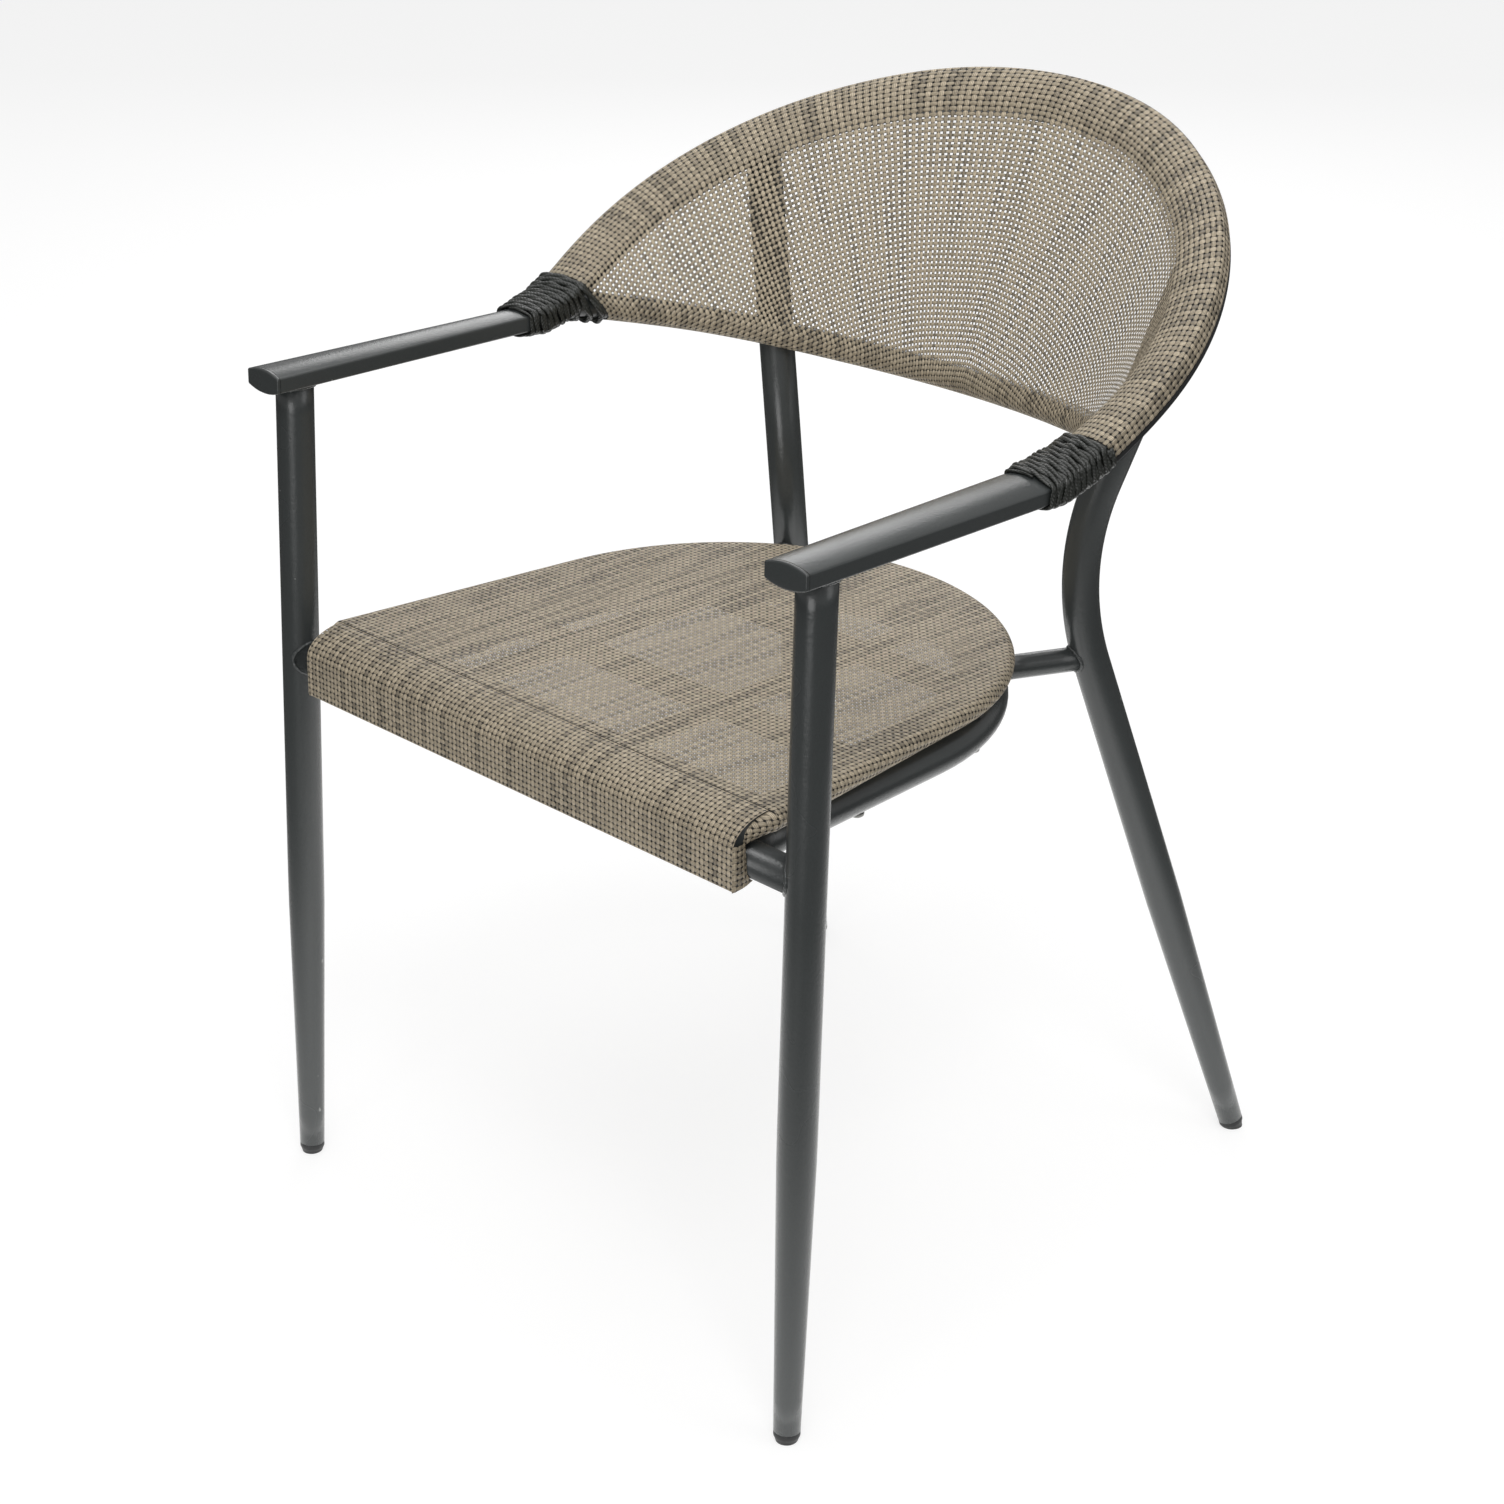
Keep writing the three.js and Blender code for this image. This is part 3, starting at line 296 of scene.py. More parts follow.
FRONT_TOP = Vector((FRONT_TOP_X, FRONT_LEAN, ArmSection(FRONT_LEAN).origin.z))
FRONT_ALONG = (FRONT_TOP - FRONT_FOOT).normalized()

CROWN_RADIUS = (OVAL_HALF_WIDTH**2 + OVAL_CROWN**2) / (2 * OVAL_CROWN)
CROWN_CENTRE = OVAL_SIDE + OVAL_CROWN - CROWN_RADIUS
CORE_WIDTH = OVAL_HALF_WIDTH - OVAL_EDGE
CORE_CROWN = CROWN_RADIUS - OVAL_EDGE
CORE_CORNER = CROWN_CENTRE + math.sqrt(CORE_CROWN**2 - CORE_WIDTH**2)
EDGE_ANGLE = math.acos(CORE_WIDTH / CORE_CROWN)


def oval_point(angle, offset=0.0):
    """The oval's point whose outward normal has this angle."""
    x, y = math.cos(angle), math.sin(angle)
    if abs(x) < CORE_WIDTH / CORE_CROWN:
        core = x * CORE_CROWN, y * CORE_CROWN + math.copysign(1, y) * CROWN_CENTRE
    else:
        core = math.copysign(CORE_WIDTH, x), math.copysign(CORE_CORNER, y)
    return core[0] + x * (OVAL_EDGE + offset), core[1] + y * (OVAL_EDGE + offset)


def oval_outline(edge_steps=5, crown_steps=6, flat_share=0.8):
    """Points round the oval: close together on its four edges, with flats between them."""
    quarter = [0.0001] + [EDGE_ANGLE * s for s in shares(edge_steps)[1:]]
    quarter += [EDGE_ANGLE + (QUARTER - EDGE_ANGLE) * s for s in shares(crown_steps)[1:-1]]
    rise = quarter + [QUARTER] + [math.pi - a for a in reversed(quarter)]
    points = [oval_point(a) for a in rise + [a + math.pi for a in rise]]
    flat = CORE_CORNER * flat_share
    return [(OVAL_HALF_WIDTH, -flat), (OVAL_HALF_WIDTH, flat)] + points[: len(rise)] + [
        (-OVAL_HALF_WIDTH, flat), (-OVAL_HALF_WIDTH, -flat)] + points[len(rise):]


def rail_at(distance):
    """Place and direction of the rail's middle line, straight ahead of its start."""
    point, along = spline(RAIL, RAIL_KNOTS, at_length(RAIL_RUN, max(0.0, distance)))
    return point + along * min(0.0, distance), along


def rail_crossing(section, rounds=6):
    """The distance at which the rail crosses the plane of a hoop section."""
    distance = 0.0
    for _ in range(rounds):
        point, along = rail_at(distance)
        distance -= (point - section.origin).dot(section.along) / along.dot(section.along)
    return distance


MESH_START = at_length(HOOP_RUN, CORD_START + CORD_LOOPS * CORD_PITCH + CORD_GAP)
RAIL_FIRST = rail_crossing(Section(MESH_START))


def along_mesh(steps):
    """Even steps of the half hoop's t from the mesh's start to the middle."""
    return [MESH_START + (1 - MESH_START) * s for s in shares(steps)]


def rail_ring(t, angles, radius):
    """Points round the rail opposite the hoop's place t: angle 0 faces the sitter."""
    section = Section(t)
    share = (t - MESH_START) / (1 - MESH_START)
    distance = RAIL_FIRST + (RAIL_RUN[-1] - RAIL_FIRST) * share
    point, along = rail_at(distance)
    front = (section.origin - point).normalized().cross(along).normalized()
    down = front.cross(along)
    slant = max(0.0, 1 - share / RAIL_SQUARE_SHARE) / along.dot(section.along)
    ring = []
    for angle in angles:
        spoke = (front * math.cos(angle) + down * math.sin(angle)) * radius
        ring.append(rail_at(distance - slant * spoke.dot(section.along))[0] + spoke)
    return ring


def rear_leg_line(low_steps=12, bend_steps=24, top_steps=4):
    """The rear leg's middle line: straight, one round bend, straight."""
    top = Section(REAR_SHARE).origin
    down, rise = (REAR_FOOT - REAR_KNEE).normalized(), (top - REAR_KNEE).normalized()
    half = down.angle(rise) / 2
    setback = REAR_BEND / math.tan(half)
    start, end = REAR_KNEE + down * setback, REAR_KNEE + rise * setback
    centre = REAR_KNEE + (down + rise).normalized() * (REAR_BEND / math.sin(half))
    spoke = start - centre
    axis, bend = spoke.cross(end - centre).normalized(), spoke.angle(end - centre)
    foot = REAR_FOOT - down * GLIDE_HEIGHT
    line = [foot + (start - foot) * s for s in shares(low_steps)[:-1]]
    line += [centre + Matrix.Rotation(bend * s, 3, axis) @ spoke for s in shares(bend_steps)]
    top -= rise * LEG_TOP_INSET
    return line + [end + (top - end) * s for s in shares(top_steps)[1:]]


def horseshoe(half_front, front, radius, centre, side_steps=6, arc_steps=24):
    """Stations (x, y, outward x, outward y) of the +X half, from the front to the back's middle."""
    heading = math.atan2(centre - front, -half_front)
    reach = math.hypot(half_front, centre - front)
    heading -= math.asin(radius / reach)
    run = math.sqrt(reach**2 - radius**2)
    side = math.cos(heading), math.sin(heading)
    stations = []
    for along in [run * s for s in shares(side_steps)[:-1]]:
        stations.append((half_front + side[0] * along, front + side[1] * along, side[1], -side[0]))
    start = math.atan2(front + side[1] * run - centre, half_front + side[0] * run)
    for a in [start + (QUARTER - start) * s for s in shares(arc_steps)]:
        stations.append((radius * math.cos(a), centre + radius * math.sin(a), math.cos(a), math.sin(a)))
    return stations


def both_halves(stations):
    return stations + [(-x, y, -ox, oy) for x, y, ox, oy in reversed(stations[:-1])]


LEG_AXIS_Y = FRONT_LEAN * CROSS_HEIGHT / FRONT_TOP.z
SUPPORT = dict(half_front=206.0, front=LEG_AXIS_Y, radius=194.5, centre=212.0)
RING = dict(half_front=218.0, front=SEAT_FRONT, radius=SEAT_RADIUS, centre=SEAT_CENTRE)


def on_support(angle):
    """Place on the round of the support tube's middle line: (x, y)."""
    radius, centre = SUPPORT["radius"], SUPPORT["centre"]
    return radius * math.cos(angle), centre + radius * math.sin(angle)


# Sizes and colours that a user would change


def length(name, description, default, low, high, precision=3):
    return FloatProperty(
        name=name, description=description, default=default, min=low, max=high,
        precision=precision, subtype="DISTANCE", unit="LENGTH")


class ChairSizes(bpy.types.PropertyGroup):
    leg_diameter: length(
        "Leg diameter", "Outside diameter of the leg tube above its taper", 0.028, 0.02, 0.036)
    seat_height: length(
        "Seat height", "Middle plane of the seat ring above the floor, at the front", 0.461, 0.42, 0.5)
    support_diameter: length(
        "Support tube diameter", "Outside diameter of the tube that carries the seat pan",
        0.025, 0.018, 0.03)
    weave_pitch: length(
        "Weave pitch", "Distance between neighbouring yarns of the mesh", 0.0042, 0.001, 0.01, 4)
    cord_width: length("Cord width", "Width of the cord over its two strands", 0.0061, 0.003, 0.008, 4)
    cord_height: length("Cord height", "Thickness of the wound cord", 0.0046, 0.002, 0.006, 4)
    weld_radius: length(
        "Weld bead radius", "Radius of the weld beads between the tubes", 0.0016, 0.0005, 0.004, 4)
    tube_sides: IntProperty(
        name="Tube sides", description="Faces round a round tube", default=40, min=12, max=96)


def srgb(code):
    """Linear colour of an sRGB hex value."""
    parts = [int(code[i:i + 2], 16) / 255 for i in (1, 3, 5)]
    return [c / 12.92 if c <= 0.04045 else ((c + 0.055) / 1.055) ** 2.4 for c in parts]


def colour(name, description, code):
    return FloatVectorProperty(
        name=name, description=description, default=srgb(code), size=3, min=0, max=1, subtype="COLOR")


class ChairColours(bpy.types.PropertyGroup):
    powder_coat: colour("Powder coat", "Charcoal coat of the tube frame", "#3b3e3e")
    yarn_light: colour("Light yarn", "Yarns that run from the front to the back", "#ada08a")
    yarn_dark: colour("Dark yarn", "Yarns that run across", "#9e927d")
    cord: colour("Cord", "Wound cord", "#2b2d2a")
    plastic: colour("Plastic", "Glides, spacers and edge strip", "#1b1c1d")
    floor: colour("Floor", "Studio floor", "#f2f2f1")


def sizes():
    return bpy.context.scene.chair_sizes


def in_mm(name):
    """A size of the panel in millimetres."""
    return getattr(sizes(), name) / MM


def rgba(name):
    """A colour of the panel for a shader socket."""
    return [*getattr(bpy.context.scene.chair_colours, name), 1]


# Materials. A pattern's scale is one over the real size that is given in metres.

OBJECT_PLACE = dict(output=3)  # Texture Coordinate's Object output
MIX_COLOURS = dict(output=2, data_type="RGBA")
MULTIPLY_COLOURS = dict(MIX_COLOURS, blend_type="MULTIPLY")
SKIP = (None,) * 5  # Mix's sockets between its factor and its colours


def add_node(tree, kind, *inputs, output=0, **settings):
    """Adds a node with its settings; an input is a socket to link, a value, or None to leave it.

    The kind is the node's type, with its operation after a space where it has one.
    """
    kind, _, operation = kind.partition(" ")
    node = tree.nodes.new("ShaderNode" + kind)
    if operation:
        node.operation = operation
    for name, value in settings.items():
        setattr(node, name, value)
    for socket, value in zip(node.inputs, inputs):
        if isinstance(value, bpy.types.NodeSocket):
            tree.links.new(value, socket)
        elif value is not None:
            socket.default_value = value
    return node.outputs[output] if node.outputs else None


def finish_surface(tree, **values):
    """Sets or links the sockets of the tree's Principled shader by their names."""
    shader = tree.nodes["Principled BSDF"]
    for name, value in values.items():
        socket = shader.inputs[name.replace("_", " ")]
        if isinstance(value, bpy.types.NodeSocket):
            tree.links.new(value, socket)
        else:
            socket.default_value = value


def powder_coat(tree):
    """Polyester powder coat baked on aluminium: satin, with a fine orange peel, a grain of 0.5 mm
    and a few rubbed spots."""
    add = partial(add_node, tree)
    place = add("TexCoord", **OBJECT_PLACE)
    peel = add("TexNoise", place, None, 1 / 0.002381, 3.0, 0.55)
    grain = add("TexNoise", place, None, 1 / 0.0005263, 2.0, 0.6)
    cloud = add("TexNoise", place, None, 1 / 0.1111, 3.0, 0.5)
    rough = add("MapRange", cloud, 0.3, 0.7, 0.2, 0.3)
    shade = add("MapRange", grain, 0.25, 0.75, 0.86, 1.14)
    coat = add("Mix", 1.0, *SKIP, rgba("powder_coat"), shade, **MULTIPLY_COLOURS)
    spots = add("TexNoise", place, None, 1 / 0.010526, 1.0, 0.5)
    rubbed = add("MapRange", spots, 0.8, 0.815, 0.0, 0.6)
    coat = add("Mix", rubbed, *SKIP, coat, [*srgb("#9a9c9a"), 1], **MIX_COLOURS)
    low = add("Bump", 0.25, 0.0006, None, peel)
    bump = add("Bump", 0.3, 0.00015, None, grain, low)
    finish_surface(tree, Base_Color=coat, Roughness=rough, Normal=bump, Specular_IOR_Level=0.6)


def studio_floor(tree):
    """Matt white paper sweep: white to the camera, with the chair's shadow kept."""
    add = partial(add_node, tree)
    tree.nodes.clear()
    seen = add("LightPath")
    shown = add("Math MAXIMUM", seen, seen.node.outputs[6])
    # for all rays but the camera's and those through clear surfaces, the lit paper ends about a
    # metre from the chair, and the room beyond is dark
    place = add("TexCoord", **OBJECT_PLACE)
    far = add("VectorMath LENGTH", place, output=1)
    near = add("MapRange", far, 0.45, 1.1, 1.0, 0.0)
    lit = add("Mix", near, *SKIP, (0.12, 0.12, 0.12, 1), rgba("floor"), **MIX_COLOURS)
    paper = add("BsdfDiffuse", lit, 0.5)
    bounce = add("Math MULTIPLY", near, 0.75)
    glow = add("Emission", (1, 1, 1, 1), bounce)
    lit_paper = add("AddShader", paper, glow)
    # what the camera sees: enough glow to be white where the lamps reach it
    dim = add("BsdfDiffuse", (0.38, 0.38, 0.38, 1), 0.5)
    white = add("Emission", (1, 1, 1, 1), 0.71)
    shown_paper = add("AddShader", dim, white)
    both = add("MixShader", shown, lit_paper, shown_paper)
    add("OutputMaterial", both)


def woven_mesh(tree):
    """Plain weave of vinyl-coated polyester yarn: 4.2 mm between yarns, with open corners between
    them, streaks of darker and thinner yarn, and a rib of strands along each yarn."""
    add = partial(add_node, tree)
    count = MM / sizes().weave_pitch
    place = add("UVMap")
    scaled = add("VectorMath MULTIPLY", place, (count, count, 0))
    cells = add("SeparateXYZ", scaled).node.outputs
    pulled = add("Attribute", attribute_name="opening", output=2)
    sides = []
    # own and other direction; half width shut and pulled open, darkest streak, thinnest yarn
    yarns = [(cells[0], cells[1], 0.395, 0.305, 0.5, 0.78), (cells[1], cells[0], 0.37, 0.285, 0.93, 0.95)]
    for own, other, shut, wide, darkest, thinnest in yarns:
        index = add("Math FLOOR", own)
        apart = add("Math MULTIPLY", index, 13.7)  # no two yarns alike
        slow = add("Math MULTIPLY", other, 0.04)  # and long streaks along each
        yarn_place = add("CombineXYZ", apart, slow)
        streaks = add("TexNoise", yarn_place, None, 1.0, 2.0, 0.5)
        tone = add("MapRange", streaks, 0.48, 0.6, 1.06, darkest)
        squeeze = add("MapRange", streaks, 0.52, 0.6, 1.0, thinnest)
        full = add("MapRange", pulled, 0.0, 1.0, shut, wide)
        half = add("Math MULTIPLY", full, squeeze)
        inside = add("Math FRACT", own)
        off = add("Math SUBTRACT", inside, 0.5)
        away = add("Math ABSOLUTE", off)
        share = add("Math DIVIDE", away, half)
        round_off = add("Math POWER", share, 2.0)
        along = add("Math ADD", index, other)
        angle = add("Math MULTIPLY", along, math.pi)
        wave = add("Math SINE", angle)
        beside = add("Math GREATER_THAN", away, half)
        four_strands = add("Math MULTIPLY", own, TURN * 4)
        strand = add("Math COSINE", four_strands)
        sides.append((round_off, wave, beside, tone, strand))
    over = add("Math SUBTRACT", sides[0][1], sides[0][0])
    minus = add("Math MULTIPLY", sides[1][1], -1.0)
    under = add("Math SUBTRACT", minus, sides[1][0])
    height = add("Math MAXIMUM", over, under)
    warp_up = add("Math GREATER_THAN", over, under)
    hole = add("Math MULTIPLY", sides[0][2], sides[1][2])
    # at a slant the thick yarn's own walls close most of a hole that isn't pulled open, and show there in
    # the dark painted shade of the hollows
    see_through = add("MapRange", pulled, 0.0, 1.0, 0.72, 1.0)
    clear = add("Math MULTIPLY", hole, see_through)
    solid = add("Math SUBTRACT", 1.0, clear)
    yarn = add("Mix", warp_up, *SKIP, rgba("yarn_dark"), rgba("yarn_light"), **MIX_COLOURS)
    tone = add("Mix", warp_up, None, sides[1][3], sides[0][3], data_type="FLOAT")
    strand = add("Mix", warp_up, None, sides[1][4], sides[0][4], data_type="FLOAT")
    fleck = add("TexNoise", scaled, None, 1.7, 3.0, 0.6)
    mottle = add("MapRange", fleck, 0.3, 0.7, 0.76, 1.22)
    # painted shade and light: each yarn darker in the grooves between its strands and lighter on their
    # crowns
    ribs = add("MapRange", strand, -1.0, 1.0, 0.66, 1.3)
    shade = add("MapRange", height, -0.82, 0.1, 0.04, 1.1)  # painted shade: dark in the hollows
    glow = add("MapRange", pulled, 0.0, 1.0, 1.0, 1.16)  # painted light: lighter where light comes through the free back
    for factor in (tone, mottle, ribs, glow):
        shade = add("Math MULTIPLY", shade, factor)
    cloth = add("Mix", 1.0, *SKIP, yarn, shade, **MULTIPLY_COLOURS)
    relief = add("Math MULTIPLY_ADD", strand, 0.12, height)
    bump = add("Bump", 0.8, 0.0006, None, relief)
    finish_surface(tree, Base_Color=cloth, Roughness=0.5, Normal=bump, Alpha=solid)


def wound_cord(tree):
    """Flattened twisted cord of coated polyester: satin, with the lay of its fibres across it."""
    add = partial(add_node, tree)
    place = add("UVMap")
    lay = add("TexWave", place, 0.22, 1.5, 2.0, 2.0, bands_direction="DIAGONAL")
    drawn = add("VectorMath MULTIPLY", place, (6.0, 0.7, 0))
    fibre = add("TexNoise", drawn, None, 1.0, 3.0, 0.6)
    shade = add("MapRange", fibre, 0.3, 0.7, 0.75, 1.25)
    cord = add("Mix", 1.0, *SKIP, rgba("cord"), shade, **MULTIPLY_COLOURS)
    low = add("Bump", 0.4, 0.0005, None, lay)
    bump = add("Bump", 0.35, 0.0002, None, fibre, low)
    finish_surface(tree, Base_Color=cord, Roughness=0.24, Normal=bump)


def moulded_plastic(tree):
    """Moulded black polyethylene: matt, with a spark-eroded grain of about 0.4 mm."""
    add = partial(add_node, tree)
    place = add("TexCoord", **OBJECT_PLACE)
    grain = add("TexNoise", place, None, 1 / 0.00041667, 2.0, 0.6)
    cloud = add("TexNoise", place, None, 1 / 0.016667, 2.0, 0.5)
    rough = add("MapRange", cloud, 0.3, 0.7, 0.5, 0.62)
    shade = add("MapRange", grain, 0.25, 0.75, 0.85, 1.15)
    black = add("Mix", 1.0, *SKIP, rgba("plastic"), shade, **MULTIPLY_COLOURS)
    bump = add("Bump", 0.3, 0.0002, None, grain)
    finish_surface(tree, Base_Color=black, Roughness=rough, Normal=bump)


def zinc_steel(tree):
    """Zinc-plated steel screws: a dull metal with faint cloudy patches."""
    add = partial(add_node, tree)
    place = add("TexCoord", **OBJECT_PLACE)
    cloud = add("TexNoise", place, None, 1 / 0.002, 3.0, 0.6)
    rough = add("MapRange", cloud, 0.3, 0.7, 0.3, 0.45)
    shade = add("MapRange", cloud, 0.3, 0.7, 0.9, 1.1)
    zinc = add("Mix", 1.0, *SKIP, [*srgb("#8f8f8c"), 1], shade, **MULTIPLY_COLOURS)
    bump = add("Bump", 0.2, 0.0001, None, cloud)
    finish_surface(tree, Base_Color=zinc, Roughness=rough, Normal=bump, Metallic=1.0)


MATERIALS = {
    "frame_coat": ("charcoal_powder_coat", powder_coat),
    "mesh_weave": ("vinyl_coated_yarn_weave", woven_mesh),
    "cord": ("coated_polyester_cord", wound_cord),
    "dark_plastic": ("moulded_black_plastic", moulded_plastic),
    "fastener": ("zinc_plated_steel", zinc_steel),
    "floor": ("white_paper_sweep", studio_floor),
}


def material_of(slot):
    """The slot's material, made when it is first asked for."""
    name, fill = MATERIALS[slot]
    material = bpy.data.materials.get(name)
    if material is None:
        material = bpy.data.materials.new(name)
        material.use_nodes = True
        fill(material.node_tree)
    return material


# Mesh tools


def surface(bm, columns, rows, place, texture=None, opening=None):
    """Shapes a grid to place(u, v), with texture(u, v) as its UV; a closed side is merged later.

    opening(u, v) says how far the weave is pulled open, from 0 to 1.
    """
    if opening is not None:
        pulled = bm.verts.layers.float.new("opening")
    made = bmesh.ops.create_grid(
        bm, x_segments=columns, y_segments=rows, size=1, calc_uvs=texture is not None)
    cells = {v: ((v.co.x + 1) / 2, (v.co.y + 1) / 2) for v in made["verts"]}
    if texture is not None:
        layer = bm.loops.layers.uv.verify()
        for face in {f for v in made["verts"] for f in v.link_faces}:
            for loop in face.loops:
                loop[layer].uv = texture(*cells[loop.vert])
    for vert, (u, v) in cells.items():
        vert.co = place(u, v)
        if opening is not None:
            vert[pulled] = opening(u, v)
    return made["verts"]


def sweep(bm, rings, texture=None, closed=False):
    """A tube through rings of points, closed round, and capped or, where asked, closed end to end."""
    columns, rows = len(rings[0]), len(rings) - (0 if closed else 1)
    verts = surface(
        bm, columns, rows,
        lambda u, v: rings[round(v * rows) % len(rings)][round(u * columns) % columns], texture)
    bmesh.ops.remove_doubles(bm, verts=verts, dist=1e-4)
    if not closed:
        fill_holes(bm)


def fill_holes(bm):
    bmesh.ops.holes_fill(bm, edges=[e for e in bm.edges if e.is_boundary])


def circle(centre, first, second, radius, sides):
    angles = [TURN * i / sides for i in range(sides)]
    return [centre + first * (radius * math.cos(a)) + second * (radius * math.sin(a)) for a in angles]


def rings_along(line, radius_at, sides):
    """Circles square to a line of points, kept from turning by the X axis."""
    rings, run = [], 0.0
    for k, point in enumerate(line):
        along = (line[min(k + 1, len(line) - 1)] - line[max(k - 1, 0)]).normalized()
        first = (X_AXIS - along * X_AXIS.dot(along)).normalized()
        run += (point - line[k - 1]).length if k else 0
        rings.append(circle(point, first, along.cross(first), radius_at(run), sides))
    return rings


def turned(bm, profile, origin, axis, steps=32):
    """A body of revolution; the profile gives (radius, height) from foot to top."""
    side = axis.orthogonal().normalized()
    verts = [bm.verts.new(origin + side * r + axis * h) for r, h in profile]
    edges = [bm.edges.new(pair) for pair in zip(verts, verts[1:])]
    bmesh.ops.spin(
        bm, geom=verts + edges, cent=origin, axis=axis, angle=TURN, steps=steps, use_merge=True)


def seat_matrix():
    return Matrix.Translation((0, 0, in_mm("seat_height"))) @ Matrix.Rotation(-SEAT_SLOPE, 4, "X")


def add_piece(bm, name, slot, *nodes, seat=False, side=1, merge=1e-4, sharp=None):
    """Makes the mesh a piece of the chair, in the model's frame.

    side is -1 for a mirror image, merge the distance of doubles in millimetres, and sharp the
    angle in degrees past which an edge isn't smoothed over.
    """
    if side < 0:
        bmesh.ops.scale(bm, vec=(-1, 1, 1), verts=bm.verts)
        bmesh.ops.reverse_faces(bm, faces=bm.faces)
    if seat:
        bmesh.ops.transform(bm, matrix=seat_matrix(), verts=bm.verts)
    bmesh.ops.transform(bm, matrix=TO_FRAME, verts=bm.verts)
    if merge:
        bmesh.ops.remove_doubles(bm, verts=bm.verts, dist=merge * MM)
    bmesh.ops.recalc_face_normals(bm, faces=bm.faces)
    mesh = bpy.data.meshes.new(name)
    bm.to_mesh(mesh)
    bm.free()
    mesh.shade_smooth()
    mesh.materials.append(material_of(slot))
    piece = bpy.data.objects.new(name, mesh)
    bpy.context.scene.collection.objects.link(piece)
    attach(piece, "root")
    if nodes:
        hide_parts(*nodes)
    if sharp is not None:
        mesh.set_sharp_from_angle(angle=math.radians(sharp))
    return piece


def add_tube(rings, name, node, slot="frame_coat", **settings):
    """A capped tube through rings of points, as a piece."""
    bm = bmesh.new()
    sweep(bm, rings)
    return add_piece(bm, name, slot, node, **settings)


def leg_radius(run):
    full = in_mm("leg_diameter") / 2
    return FOOT_RADIUS + (full - FOOT_RADIUS) * min(1.0, run / (TAPER - GLIDE_HEIGHT))


def arm_rings(steps=8):
    outline = oval_outline()
    first = ARM_FRONT + CAP_THICKNESS
    places = [first + (ARM_BACK - first) * s for s in shares(steps)]
    return [[ArmSection(y).place(*p) for p in outline] for y in places]


def over_both(rings):
    """Rings from the +X end over the middle to the -X end."""
    return rings + [[Vector((-p.x, p.y, p.z)) for p in ring] for ring in reversed(rings[:-1])]


def tree_of(rings):
    """A search tree of the surface through rings of points."""
    n = len(rings[0])
    points = [p for ring in rings for p in ring]
    faces = [
        (r * n + i, r * n + (i + 1) % n, (r + 1) * n + (i + 1) % n, (r + 1) * n + i)
        for r in range(len(rings) - 1) for i in range(n)
    ]
    return BVHTree.FromPolygons(points, faces)


def weld(bm, tree, start, toward, tube_radius, steps=72):
    """A closed bead where a round tube meets another surface, with the ripples of the torch's steps."""
    along = (toward - start).normalized()
    first = along.orthogonal().normalized()
    path = [tree.ray_cast(p, along)[0] for p in circle(start, first, along.cross(first), tube_radius, steps)]
    if None in path:
        raise RuntimeError("a weld's tube misses what it is welded to")
    rings = []
    for k, point in enumerate(path):
        along = (path[(k + 1) % steps] - path[k - 1]).normalized()
        first = along.orthogonal().normalized()
        ripple = in_mm("weld_radius") * (1 + 0.12 * math.sin(k * 2.1) + 0.06 * math.sin(k * 5.3))
        rings.append(circle(point, first, along.cross(first), ripple, WELD_SIDES))

    def lined_up(ring, before):
        """The ring, started at its point nearest to the start of the one before."""
        best = min(range(WELD_SIDES), key=lambda s: (ring[s] - before[0]).length)
        return ring[best:] + ring[:best], best

    for k in range(1, steps):
        rings[k] = lined_up(rings[k], rings[k - 1])[0]
    last, shift = lined_up(rings[0], rings[-1])
    if shift:
        sweep(bm, rings + [last])
    else:
        sweep(bm, rings, closed=True)


def support_rings():
    radius, sides = in_mm("support_diameter") / 2, sizes().tube_sides
    return [
        circle(Vector((x, y, -SUPPORT_DROP)), Vector((ox, oy, 0)), UP, radius, sides)
        for x, y, ox, oy in both_halves(horseshoe(**SUPPORT))
    ]


def brace_ends():
    """The brace's ends on the middle lines of the rear leg and of the support tube."""
    line = rear_leg_line()
    k = next(i for i, p in enumerate(line) if p.z > BRACE_HEIGHT)
    share = (BRACE_HEIGHT - line[k - 1].z) / (line[k].z - line[k - 1].z)
    inner = seat_matrix() @ Vector((*on_support(BRACE_ANGLE), BRACE_LIFT - SUPPORT_DROP))
    return line[k - 1].lerp(line[k], share), inner


class Operation(bpy.types.Operator):
    """Common ground of the operators"""

    bl_options = {"REGISTER", "UNDO"}


class CHAIR_OT_arms(Operation):
    """Flat oval arms with their welded end caps"""

    bl_idname = "chair.arms"
    bl_label = "Arms"

    def execute(self, context):
        cap = []
        for back, draw_in in CAP_ROUNDING:
            section = ArmSection(ARM_FRONT + back)
            wide, thick = 1 - draw_in / OVAL_HALF_WIDTH, 1 - draw_in / (OVAL_SIDE + OVAL_CROWN)
            cap.append([section.place(x * wide, z * thick) for x, z in oval_outline()])
        for side, hand in HANDS:
            add_tube(arm_rings(), f"arm_tube_{hand}", f"arm_{hand}", side=side, sharp=35)
            add_tube(cap, f"arm_cap_{hand}", f"arm_end_cap_{hand}", side=side, sharp=50)
        return {"FINISHED"}


